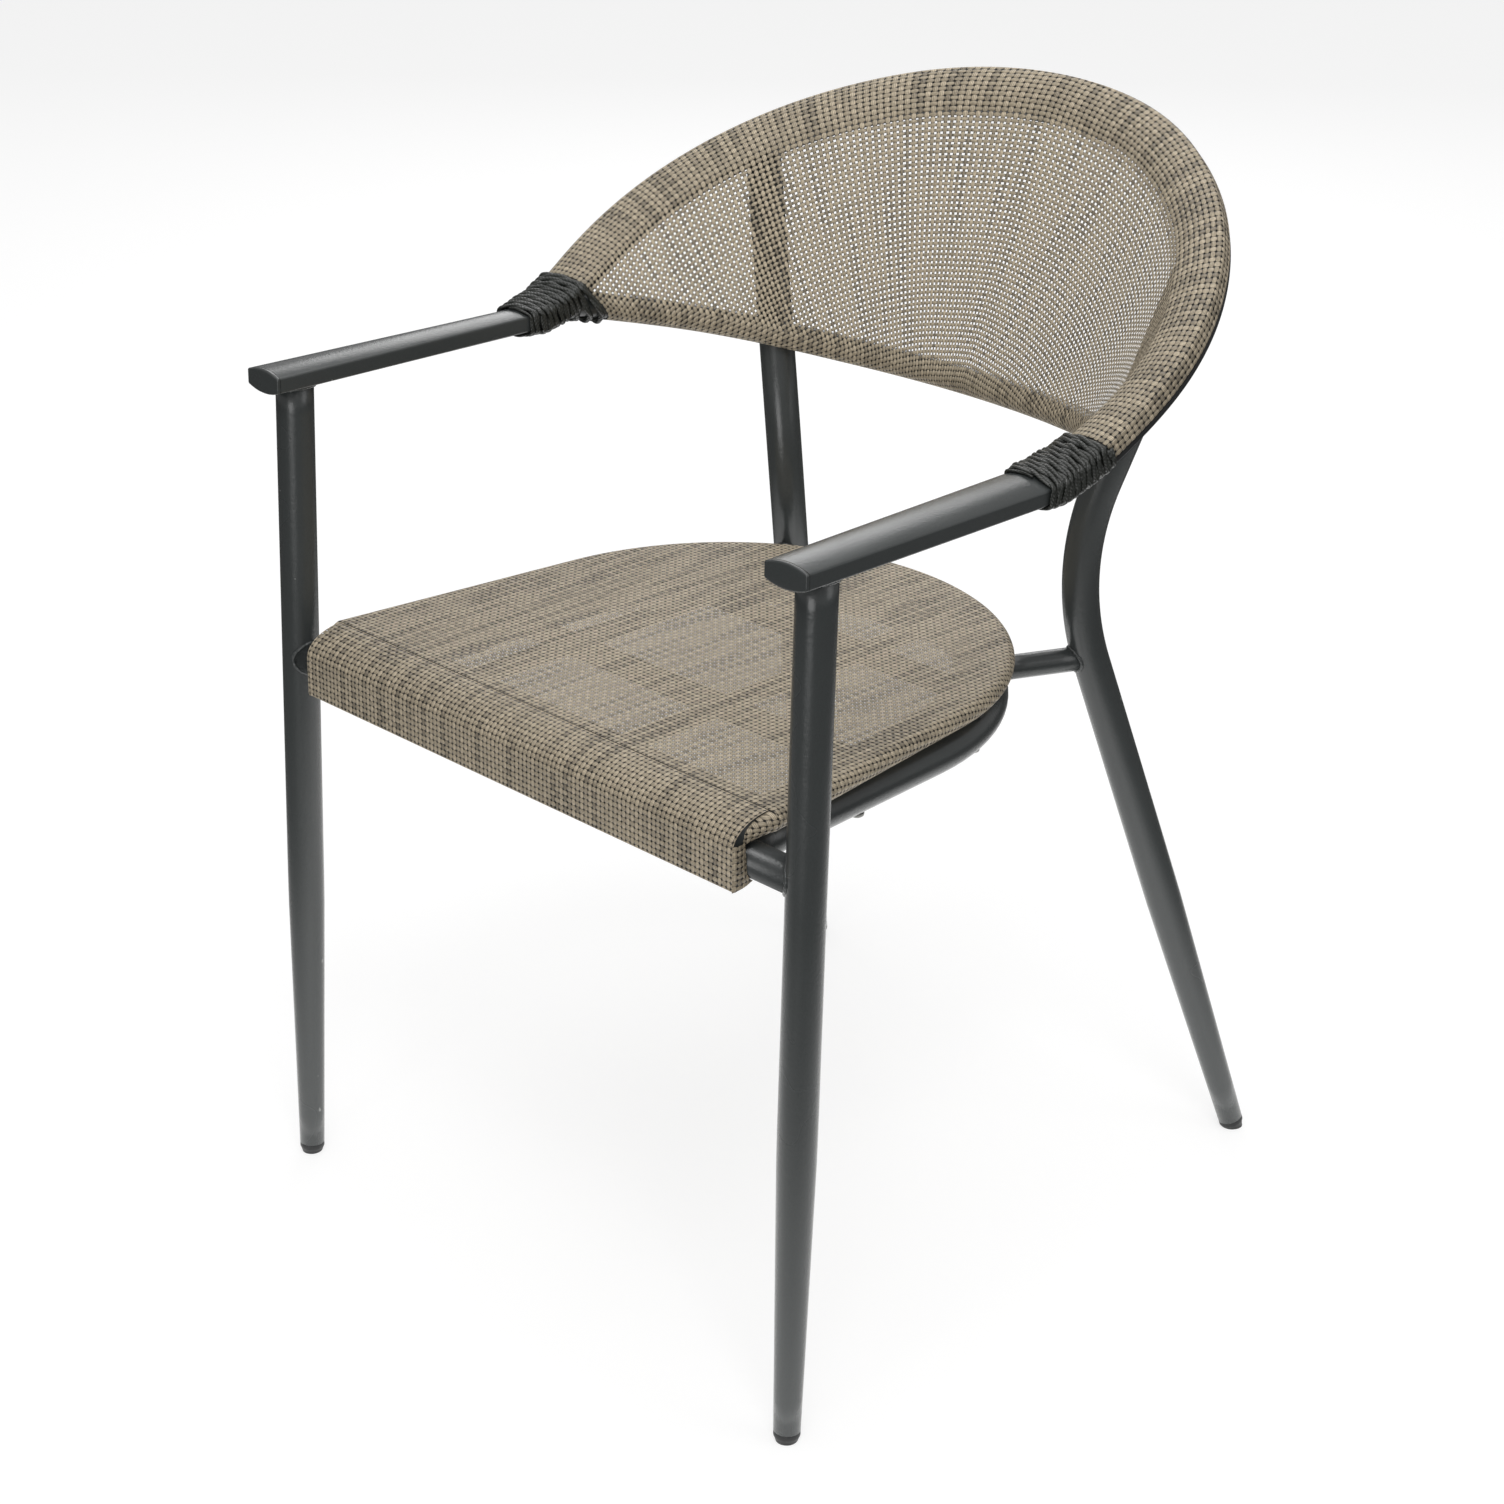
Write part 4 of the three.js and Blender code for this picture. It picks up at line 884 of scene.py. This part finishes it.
class CHAIR_OT_back_frame(Operation):
    """Back hoop of flat oval tube and the round lower rail"""

    bl_idname = "chair.back_frame"
    bl_label = "Back frame"

    def execute(self, context):
        hoop_steps, rail_steps, rail_sides = 90, 70, 32
        outline = oval_outline()
        hoop = [[Section(s).place(*p) for p in outline] for s in shares(hoop_steps)]
        add_tube(over_both(hoop), "back_hoop_tube", "back_hoop", sharp=35)
        angles = [TURN * i / rail_sides for i in range(rail_sides)]
        rings = [rail_ring(t, angles, RAIL_RADIUS) for t in along_mesh(rail_steps)]
        lead = [rail_at(-RAIL_LEAD_IN * s)[0] - rail_at(RAIL_FIRST)[0] for s in (1, 0.5)]
        starts = [[p + shift for p in rings[0]] for shift in lead]
        add_tube(over_both(starts + rings), "lower_rail_tube", "lower_back_rail")
        return {"FINISHED"}


class CHAIR_OT_legs(Operation):
    """Tapered legs, with their weld beads under the arms"""

    bl_idname = "chair.legs"
    bl_label = "Legs"

    def execute(self, context):
        front_steps = 24
        start = FRONT_FOOT + FRONT_ALONG * (GLIDE_HEIGHT + GAP)
        front = [start + (FRONT_TOP - start) * s for s in shares(front_steps)]
        arm = tree_of(arm_rings())
        radius = in_mm("leg_diameter") / 2 + in_mm("weld_radius") / 10
        for side, hand in HANDS:
            for place, line in (("front", front), ("rear", rear_leg_line())):
                rings = rings_along(line, leg_radius, sizes().tube_sides)
                add_tube(rings, f"{place}_leg_tube_{hand}", f"{place}_leg_{hand}", side=side)
            bm = bmesh.new()
            weld(bm, arm, FRONT_TOP - FRONT_ALONG * WELD_REACH, FRONT_TOP, radius)
            add_piece(bm, f"weld_arm_{hand}", "frame_coat", side=side)
        return {"FINISHED"}


class CHAIR_OT_glides(Operation):
    """Plastic foot glides, their soles cut level with the floor"""

    bl_idname = "chair.glides"
    bl_label = "Foot glides"

    def execute(self, context):
        for side, hand in HANDS:
            for place, foot, top in (("front", FRONT_FOOT, FRONT_TOP), ("rear", REAR_FOOT, REAR_KNEE)):
                bm = bmesh.new()
                turned(bm, GLIDE_PROFILE, foot, (top - foot).normalized())
                bmesh.ops.bisect_plane(
                    bm, geom=bm.verts[:] + bm.edges[:] + bm.faces[:], plane_co=(0, 0, 0),
                    plane_no=(0, 0, 1), clear_inner=True)
                fill_holes(bm)
                name = f"{place}_{hand}"
                add_piece(bm, f"glide_{name}", "dark_plastic", f"foot_glide_{name}", side=side, sharp=40)
        return {"FINISHED"}


class CHAIR_OT_under_seat(Operation):
    """Cross tube, seat support and rear braces, with their weld beads"""

    bl_idname = "chair.under_seat"
    bl_label = "Tubes under the seat"

    def execute(self, context):
        sides = sizes().tube_sides
        end = Vector((CROSS_HALF, LEG_AXIS_Y, CROSS_HEIGHT))
        places = [Vector((x, end.y, end.z)) for x in (-end.x, -130, 0, 130, end.x)]
        rings = [circle(p, Y_AXIS, UP, CROSS_RADIUS, sides) for p in places]
        add_tube(rings, "cross_tube", "front_cross_tube")
        add_tube(support_rings(), "support_tube", "seat_support_tube", seat=True)
        outer, inner = brace_ends()
        brace = (inner - outer).normalized()
        level = brace.cross(UP).normalized()
        support = tree_of([[seat_matrix() @ p for p in ring] for ring in support_rings()])
        rear_leg = tree_of(rings_along(rear_leg_line(), leg_radius, sides))
        foot = FRONT_FOOT + FRONT_ALONG * GLIDE_HEIGHT
        above_taper = foot.lerp(FRONT_TOP, TAPER_TOP_SHARE)
        front_leg = tree_of(rings_along([foot, above_taper, FRONT_TOP], leg_radius, sides))
        middle = outer.lerp(inner, 0.5)
        places = [outer.lerp(inner, s) for s in (0.0, 0.33, 0.66, 1.0)]
        rings = [circle(p, level, brace.cross(level), BRACE_RADIUS, sides) for p in places]
        for side, hand in HANDS:
            add_tube(rings, f"brace_tube_{hand}", f"rear_brace_{hand}", side=side)
            bm = bmesh.new()
            weld(bm, rear_leg, middle, outer, BRACE_RADIUS)
            weld(bm, support, middle, inner, BRACE_RADIUS - WELD_SINK)
            weld(bm, front_leg, end - X_AXIS * WELD_REACH, end, CROSS_RADIUS)
            add_piece(bm, f"weld_seat_{hand}", "frame_coat", side=side)
        return {"FINISHED"}


def ring_section(radius, steps=10):
    """Half-round sided oval of the seat ring as (across, height), its round sides moved out."""
    centre = SEAT_HALF_WIDTH - SEAT_HALF_THICK
    rim = [(centre + radius * math.cos(a), radius * math.sin(a))
           for a in [-QUARTER + math.pi * s for s in shares(steps)]]
    return rim + [(-x, z) for x, z in reversed(rim)]


def nose_profile(lift, steps=16):
    """Side view of the front rail's outside from its top round to the skirt's foot: (y, z)."""
    centre_y, centre_z = NOSE_FRONT + NOSE_DEPTH, SEAT_HALF_THICK - NOSE_HEIGHT
    arc = [
        (centre_y + (NOSE_DEPTH + lift) * math.cos(a), centre_z + (NOSE_HEIGHT + lift) * math.sin(a))
        for a in [QUARTER + QUARTER * s for s in shares(steps)]
    ]
    drop = SKIRT_FOLD - SKIRT_DROP - centre_z
    return arc + [(NOSE_FRONT - lift, centre_z + drop * s) for s in (0.25, 0.5, 0.75, 1)]


class CHAIR_OT_seat_pan(Operation):
    """Seat ring, front rail, slats, spacers and screws"""

    bl_idname = "chair.seat_pan"
    bl_label = "Seat pan"

    def execute(self, context):
        section = ring_section(SEAT_HALF_THICK)
        half = horseshoe(**RING, side_steps=24)
        stations = both_halves([s for s in half if s[1] >= NOSE_BACK])
        rings = [[Vector((x + ox * a, y + oy * a, h)) for a, h in section] for x, y, ox, oy in stations]
        add_tube(rings, "seat_ring_tube", "seat_ring", seat=True)
        skirt_back = NOSE_FRONT + SKIRT_THICKNESS
        outer = [(NOSE_BACK, SEAT_HALF_THICK), *nose_profile(0), (NOSE_FRONT, -SKIRT_DROP)]
        outer += [(skirt_back, -SKIRT_DROP), (skirt_back, -SEAT_HALF_THICK), (NOSE_BACK, -SEAT_HALF_THICK)]
        rings = [[Vector((x, y, z)) for y, z in outer] for x in (-NOSE_HALF, NOSE_HALF)]
        add_tube(rings, "front_rail_profile", "seat_front_rail", seat=True, sharp=35)
        top = SEAT_HALF_THICK - SLAT_THICKNESS / 2
        reach = SEAT_CENTRE + math.sqrt(SEAT_RADIUS**2 - LONG_SLAT_X**2)
        slats = [
            (f"long_slat_{hand}", (side * LONG_SLAT_X, (NOSE_BACK + reach) / 2, top),
             (LONG_SLAT_WIDTH, reach - NOSE_BACK)) for side, hand in HANDS]
        for place, y in zip(("front", "rear"), CROSS_SLATS):
            x = next(s[0] for s in half if s[1] >= y)
            slats.append((
                f"cross_slat_{place}", (0, y, top - SLAT_THICKNESS - GAP), (2 * x, CROSS_SLAT_WIDTH)))
        for name, centre, size in slats:
            bm = bmesh.new()
            bmesh.ops.create_cube(bm, size=1)
            bmesh.ops.scale(bm, vec=(*size, SLAT_THICKNESS), verts=bm.verts)
            bmesh.ops.translate(bm, vec=centre, verts=bm.verts)
            bmesh.ops.bevel(
                bm, geom=bm.edges[:], offset=SLAT_EDGE, segments=2, profile=0.5, affect="EDGES",
                material=-1)
            add_piece(bm, name, "frame_coat", "seat_" + name, seat=True, sharp=35)
        self.fasteners()
        return {"FINISHED"}

    def fasteners(self):
        """Spacers and pan head screws between the support tube and the ring."""
        radius = in_mm("support_diameter") / 2
        high, head = radius - SUPPORT_DROP, -SUPPORT_DROP - radius - GAP
        line = horseshoe(**SUPPORT)
        first, tangent = line[0], line[6]
        share = (BOLT_FRONT_Y - first[1]) / (tangent[1] - first[1])
        places = {
            "front": (first[0] + (tangent[0] - first[0]) * share, BOLT_FRONT_Y),
            "rear": on_support(BOLT_REAR_ANGLE),
        }
        low = -SEAT_HALF_THICK - 1.6  # under the ring and the mesh
        spacer = [
            (3.3, high - 0.4), (6.2, high - 0.4), (7, high + 0.5), (7, low - 0.6), (6.3, low), (3.3, low)]
        screw = [
            (0, head - 1.4), (1.9, head - 1.4), (2.2, head - 3.2), (3.9, head - 3.1), (4.9, head - 2.3),
            (5.2, head - 1.2), (5.2, head), (3, head), (3, 1.3), (0, 1.3),
        ]
        kinds = (
            ("spacer", "dark_plastic", spacer + spacer[:1], "seat_spacer"),
            ("screw", "fastener", screw, "seat_bolt"),
        )
        for place, (x, y) in places.items():
            for side, hand in HANDS:
                for kind, slot, profile, node in kinds:
                    bm = bmesh.new()
                    turned(bm, profile, Vector((side * x, y, 0)), UP, steps=24)
                    name = f"{place}_{hand}"
                    add_piece(bm, f"seat_pan_{kind}_{name}", slot, f"{node}_{name}", seat=True, sharp=30)


class CHAIR_OT_seat_cloth(Operation):
    """Stretched seat mesh: over the ring, and over the front rail and its skirt"""

    bl_idname = "chair.seat_cloth"
    bl_label = "Seat mesh"

    def execute(self, context):
        hem_steps, rim_steps, top_steps, front_steps = 3, 12, 26, 150
        radius = SEAT_HALF_THICK + MESH_LIFT
        centre = SEAT_HALF_WIDTH - SEAT_HALF_THICK
        top_y = NOSE_FRONT + NOSE_DEPTH

        def spoke(station):
            """From the hem under the ring, round its rim and in over the top: place and UV."""
            x, y, ox, oy = station
            hem = -(HEM_LEFT if x < 0 else HEM_RIGHT)
            run = math.pi * radius
            points = [(a, -radius, run + 2 * centre - a) for a in (hem, (hem + centre) / 2, centre)]
            for a in [-QUARTER + math.pi * s for s in shares(rim_steps)[1:]]:
                points.append((
                    centre + radius * math.cos(a), radius * math.sin(a), centre + radius * (QUARTER - a)))
            made = [
                (Vector((x + ox * a, y + oy * a, z)), (x + ox * reach, y + oy * reach))
                for a, z, reach in points
            ]
            middle = Vector((0, min(y + oy * centre, SEAT_PEAK), radius))
            flat = [made[-1][0].lerp(middle, s) for s in shares(top_steps)[1:]]
            return made + [(p, (p.x, p.y)) for p in flat]

        half = horseshoe(**RING, side_steps=60, arc_steps=60)
        side, tangent = half[0], half[60]
        share = (top_y - side[1]) / (tangent[1] - side[1])
        corner = (side[0] + (tangent[0] - side[0]) * share, top_y, side[2], side[3])
        spokes = [spoke(s) for s in both_halves([corner] + [s for s in half if s[1] > top_y + 1])]
        columns, rows = len(spokes) - 1, len(spokes[0]) - 1

        def pick(u, v):
            return spokes[round(u * columns)][round(v * rows)]

        bm = bmesh.new()
        surface(bm, columns, rows, lambda u, v: pick(u, v)[0], lambda u, v: pick(u, v)[1])

        bottom = -SKIRT_DROP - MESH_LIFT - SKIRT_SAG
        profile = nose_profile(MESH_LIFT)
        foot = profile[-1][0]
        profile += [(foot, bottom + 2.2), (foot + 0.3, bottom + 1.0), (foot + 1.3, bottom + 0.2)]
        profile += [(foot + 3, bottom), (foot + 10, bottom + 1.2), *reversed(self.skirt_back(bottom))]
        profile = [Vector((0, *p)) for p in profile]
        run, last = running(profile), len(profile) - 1
        fabric_half = NOSE_HALF + MESH_LIFT

        def front(u, v):
            return profile[round(v * last)] + X_AXIS * ((2 * u - 1) * fabric_half)

        def front_texture(u, v):
            return (2 * u - 1) * fabric_half, top_y - run[round(v * last)]

        surface(bm, front_steps, last, front, front_texture)
        seat = add_piece(bm, "seat_mesh", "mesh_weave", "seat_fabric", seat=True, merge=0.02)
        for side, hand in HANDS:
            bm = bmesh.new()
            self.skirt_end(bm, side, fabric_half - 0.4, bottom)
            edge = spokes[0 if side > 0 else -1][hem_steps - 1:hem_steps + rim_steps]
            self.corner_flap(bm, side, fabric_half, [place for place, _ in reversed(edge)])
            add_piece(bm, f"skirt_end_{hand}", "mesh_weave", seat=True, merge=0)
        return {"FINISHED"}

    def skirt_back(self, bottom, steps=10):
        """Back of the folded skirt, against the cross tube: (y, z) from high to low."""
        centre = seat_matrix().inverted() @ Vector((0, LEG_AXIS_Y, CROSS_HEIGHT))
        radius = CROSS_RADIUS + CLOTH_GAP
        line = [(NOSE_FRONT + SKIRT_THICKNESS + MESH_LIFT, -SEAT_HALF_THICK - 2)]
        for z in [centre.z + (bottom + HEM_RISE - centre.z) * s for s in shares(steps)]:
            line.append((centre.y - math.sqrt(radius**2 - (z - centre.z) ** 2), z))
        return line

    def skirt_end(self, bm, side, half, bottom, columns=6):
        """Folded end of the skirt, from its front to the cross tube."""
        back = self.skirt_back(bottom)
        rows, front = len(back) - 1, NOSE_FRONT - MESH_LIFT

        def end(u, v):
            y, z = back[round(v * rows)]
            fold = END_FOLD * math.sin(math.pi * u) * side
            return Vector((side * half + fold, front + (y - front) * u, z - (1 - u) * HEM_RISE * v))

        # 300 mm along the weave, so that its streaks aren't the seat's
        surface(bm, columns, rows, end, lambda u, v: (end(u, v).y + 300, end(u, v).z))

    def corner_flap(self, bm, side, half, rim, columns=12):
        """Cloth drawn from the nose's end out to the ring's side, open in a small V at the skirt."""
        nose = [p for p in nose_profile(MESH_LIFT - FLAP_BULGE, 24) if p[1] > FLAP_FOOT]
        rows = len(rim) - 1

        def flap(u, v):
            y, z = nose[round(v * (len(nose) - 1))]
            start = Vector((side * (half - FLAP_INSET), y + 1 + 5 * v**2, z))
            bulge = side * FLAP_BULGE * math.sin(math.pi * u) * math.sin(math.pi * min(1, v * 1.2))
            return start.lerp(rim[round(v * rows)], u) + X_AXIS * bulge

        surface(bm, columns, rows, flap, lambda u, v: (flap(u, v).y + 400, flap(u, v).z * 1.2))


class CHAIR_OT_back_cloth(Operation):
    """Stretched back mesh from behind the lower rail up and over the hoop, and its edge strip"""

    bl_idname = "chair.back_cloth"
    bl_label = "Back mesh"

    def execute(self, context):
        strip_outer = OVAL_HALF_WIDTH - STRIP_INSET
        strip_inner = strip_outer - STRIP_WIDTH

        def crown(section, across, offset):
            """A point over the hoop's back crown."""
            height = CROWN_CENTRE + math.sqrt((CROWN_RADIUS + offset) ** 2 - across**2)
            return section.place(across, -height)

        def row(t):
            """From the rail's back round its front, free to the hoop and round it to the strip."""
            section = Section(t)
            wrap = [math.pi * (1 - s) for s in shares(WRAP_STEPS)[:-1]]
            points = rail_ring(t, [*wrap[:-1], wrap[-1] / 2, 0.0], RAIL_RADIUS + MESH_LIFT)
            low = points[-1]
            aim = low - section.place(-CORE_WIDTH, CORE_CORNER)
            tangent = math.atan2(-aim.dot(section.wide), aim.dot(section.face))
            first = section.place(*oval_point(tangent, MESH_LIFT))
            points += [low.lerp(first, s) for s in shares(FREE_STEPS)[1:-1]]
            corner = min(tangent, math.pi - EDGE_ANGLE)
            angles = [tangent + (corner - tangent) * s for s in shares(4)]
            angles += [corner + (EDGE_ANGLE - corner) * s for s in shares(10)[1:]]
            angles += [EDGE_ANGLE * (1 - 2 * s) for s in shares(10)[1:]]
            points += [section.place(*oval_point(a, MESH_LIFT)) for a in angles]
            return points + [crown(section, strip_inner + 5, MESH_LIFT)]

        rows = over_both([row(t) for t in along_mesh(BACK_STEPS)])
        columns, count = len(rows) - 1, len(rows[0]) - 1
        hoop_step = WRAP_STEPS + FREE_STEPS
        across = running([points[FREE_STEPS] for points in rows])
        up = []
        for points in rows:
            run = running(points)
            up.append([r - run[hoop_step + 1] for r in run])

        def texture(u, v):
            column = round(u * columns)
            return across[column] - across[-1] / 2, up[column][round(v * count)]

        def opening(u, v):
            """Open between rail and hoop, and shut within two steps of either."""
            return min(1.0, max(0.0, min(v * count - WRAP_STEPS, hoop_step - v * count) / 2))

        bm = bmesh.new()
        surface(
            bm, columns, count, lambda u, v: rows[round(u * columns)][round(v * count)], texture, opening)
        piece = add_piece(bm, "back_mesh", "mesh_weave", "back_fabric")

        high = STRIP_LIFT + STRIP_THICKNESS
        outline = [
            (strip_inner, 0.3), (strip_inner + 4, 0.3), (strip_inner + 4.2, STRIP_LIFT),
            (strip_outer, STRIP_LIFT), (strip_outer, high - 1.4), (strip_outer - 0.4, high - 0.5),
            (strip_outer - 1.3, high), (strip_inner + 1.3, high), (strip_inner + 0.4, high - 0.5),
            (strip_inner, high - 1.4),
        ]
        rings = [[crown(Section(t), a, h) for a, h in outline] for t in along_mesh(90)]
        add_tube(over_both(rings), "edge_strip", "back_edge_strip", "dark_plastic", sharp=50)
        return {"FINISHED"}


def rail_section(distance):
    """The rail cut by the hoop's section plane: an ellipse, drawn in ahead of the rail's end."""
    section = Section(at_length(HOOP_RUN, distance))
    crossing = rail_crossing(section)
    end = -RAIL_LEAD_IN - RAIL_RADIUS / 2
    point, along = rail_at(max(crossing, end))
    place = point - section.origin
    lean = Vector((along.dot(section.wide), along.dot(section.face)))
    stretch = 1 / along.dot(section.along) ** 2 - 1
    share = min(1.0, max(0.0, 1 + (crossing - end) / RAIL_RADIUS))
    centre = Vector((place.dot(section.wide), place.dot(section.face))) * share
    return section, centre, lean.normalized(), stretch * share, RAIL_RADIUS * share


def winding_hull(distance, clearance):
    """The taut outline round tube and rail, by the outward normal's angle."""
    section, centre, lean, stretch, radius = rail_section(distance)
    hull = []
    for k in range(HULL_SAMPLES + 1):
        angle = TURN * (k + 0.5) / HULL_SAMPLES
        normal = Vector((math.cos(angle), math.sin(angle)))
        tube = Vector(oval_point(angle, clearance))
        reach = normal + lean * (stretch * normal.dot(lean))
        reach = reach * (radius / math.sqrt(normal.dot(reach)))
        rail = reach + centre + normal * clearance
        hull.append(rail if rail.dot(normal) > tube.dot(normal) else tube)
    return section, hull


def hull_point(hull, share):
    """The point at a share of the way round the hull."""
    lengths = [(b - a).length for a, b in zip(hull, hull[1:])]
    total, reached = sum(lengths), 0.0
    for k, part in enumerate(lengths):
        step = part / total * HULL_LENGTH_SHARE + (1 - HULL_LENGTH_SHARE) / HULL_SAMPLES
        if reached + step >= share:
            return hull[k].lerp(hull[k + 1], (share - reached) / step)
        reached += step
    return hull[0]


class CHAIR_OT_windings(Operation):
    """Cord wound over the joint of arm, hoop and lower rail"""

    bl_idname = "chair.windings"
    bl_label = "Cord windings"

    def execute(self, context):
        line = []
        for k in range(TAIL_STEPS, CORD_LOOPS * LOOP_STEPS + 1):
            size = min(1.0, 0.3 + 0.7 * (k - TAIL_STEPS) / 48)  # the narrow start
            thin = min(1.0, 0.45 + 0.55 * (k - TAIL_STEPS) / 170)  # and the flat first loops
            settled = min(1.0, k / 80)
            wander = 0.45 * math.sin(k * 0.087 + 1.0) + 0.35 * math.sin(k * 0.211)
            distance = CORD_START + CORD_PITCH * k / LOOP_STEPS + wander * settled + 2.2 * (1 - size)
            loose = max(0.0, 0.35 * math.sin(k * 0.153) * settled)
            section, hull = winding_hull(distance, in_mm("cord_height") / 2 * thin + CORD_LIFT + loose)
            point = hull_point(hull, (k % LOOP_STEPS) / LOOP_STEPS)
            line.append((section.place(point.x, point.y), section.along, size, thin))
        for side, hand in HANDS:
            bm = bmesh.new()
            for phase in (0, math.pi):
                self.strand(bm, line, phase)
            add_piece(bm, f"winding_{hand}", "cord", f"cord_wrap_{hand}", side=side)
        return {"FINISHED"}

    def strand(self, bm, line, phase, sides=10):
        """One of the two flattened strands that are twisted round each other."""
        width, height = in_mm("cord_width"), in_mm("cord_height")
        beside_by, out_by, half_width, half_height = (
            share * size for share, size in zip(STRAND_SHARES, (width, height, width, height)))
        places = [place for place, *_ in line]
        rings, run = [], running(places)
        for k, (place, beside_hoop, size, thin) in enumerate(line):
            along = (places[min(k + 1, len(line) - 1)] - places[max(k - 1, 0)]).normalized()
            beside = (beside_hoop - along * along.dot(beside_hoop)).normalized()
            out = along.cross(beside)
            turn = run[k] * TURN / CORD_LAY + phase
            heart = place + beside * (beside_by * size * math.cos(turn))
            heart += out * (out_by * thin * math.sin(turn))
            across, thick = beside * (half_width * size), out * (half_height * thin)
            rings.append(circle(heart, across, thick, 1, sides))
        last = len(rings) - 1
        sweep(bm, rings, lambda u, v: (u * CORD_GIRTH, run[round(v * last)]))


class CHAIR_OT_stage(Operation):
    """Pale floor, soft light and the camera"""

    bl_idname = "chair.stage"
    bl_label = "Studio"

    def execute(self, context):
        scene = context.scene
        scene.view_settings.view_transform = "Standard"
        bm = bmesh.new()
        bmesh.ops.create_grid(bm, x_segments=2, y_segments=2, size=FLOOR_HALF)
        mesh = bpy.data.meshes.new("studio_floor")
        bm.to_mesh(mesh)
        bm.free()
        floor = bpy.data.objects.new("studio_floor", mesh)
        mesh.materials.append(material_of("floor"))
        scene.collection.objects.link(floor)
        world = bpy.data.worlds.new("studio_world")
        world.use_nodes = True
        tree = world.node_tree
        tree.nodes.clear()
        add = partial(add_node, tree)
        # a strength of 1 is white: only the camera and clear surfaces see that
        seen = add("LightPath")
        shown = add("Math MAXIMUM", seen, seen.node.outputs[6])
        strength = add("MapRange", shown, 0.0, 1.0, AMBIENT, 1.0)
        add("OutputWorld", add("Background", (1, 1, 1, 1), strength))
        scene.world = world
        for name, place, size, power in LAMPS:
            lamp = bpy.data.lights.new(name, "AREA")
            lamp.shape, lamp.size, lamp.energy = "SQUARE", size, power
            light = bpy.data.objects.new(name, lamp)
            light.location = place
            light.rotation_euler = (TARGET - Vector(place)).to_track_quat("-Z", "Y").to_euler()
            scene.collection.objects.link(light)
        data = bpy.data.cameras.new("camera")
        data.lens, data.sensor_width = LENS, SENSOR
        data.shift_x, data.shift_y = SHIFT
        data.clip_start, data.clip_end = 0.05, 60
        camera = bpy.data.objects.new("camera", data)
        camera.matrix_world = (
            Matrix.Translation(CAMERA_PLACE) @ Matrix.Rotation(CAMERA_AZIMUTH, 4, "Z")
            @ Matrix.Rotation(QUARTER - CAMERA_RISE, 4, "X") @ Matrix.Rotation(CAMERA_ROLL, 4, "Z"))
        scene.collection.objects.link(camera)
        scene.camera = camera
        return {"FINISHED"}


class CHAIR_PT_panel(bpy.types.Panel):
    bl_idname = "CHAIR_PT_panel"
    bl_label = "Bistro armchair"
    bl_space_type = "VIEW_3D"
    bl_region_type = "UI"
    bl_category = "Chair"

    def draw(self, context):
        for group in (sizes(), context.scene.chair_colours):
            box = self.layout.box()
            for name in type(group).__annotations__:
                box.prop(group, name)
        for operator in OPERATORS:
            self.layout.operator(operator.bl_idname)


OPERATORS = [
    CHAIR_OT_stage, CHAIR_OT_arms, CHAIR_OT_back_frame, CHAIR_OT_legs, CHAIR_OT_glides,
    CHAIR_OT_under_seat, CHAIR_OT_seat_pan, CHAIR_OT_seat_cloth, CHAIR_OT_back_cloth, CHAIR_OT_windings,
]
CLASSES = [ChairSizes, ChairColours, CHAIR_PT_panel, *OPERATORS]


def register():
    for cls in CLASSES:
        bpy.utils.register_class(cls)
    bpy.types.Scene.chair_sizes = PointerProperty(type=ChairSizes)
    bpy.types.Scene.chair_colours = PointerProperty(type=ChairColours)


def unregister():
    del bpy.types.Scene.chair_colours, bpy.types.Scene.chair_sizes
    for cls in reversed(CLASSES):
        bpy.utils.unregister_class(cls)


def main():
    register()
    for operator in OPERATORS:
        group, name = operator.bl_idname.split(".")
        getattr(getattr(bpy.ops, group), name)()


if __name__ == "__main__":
    main()
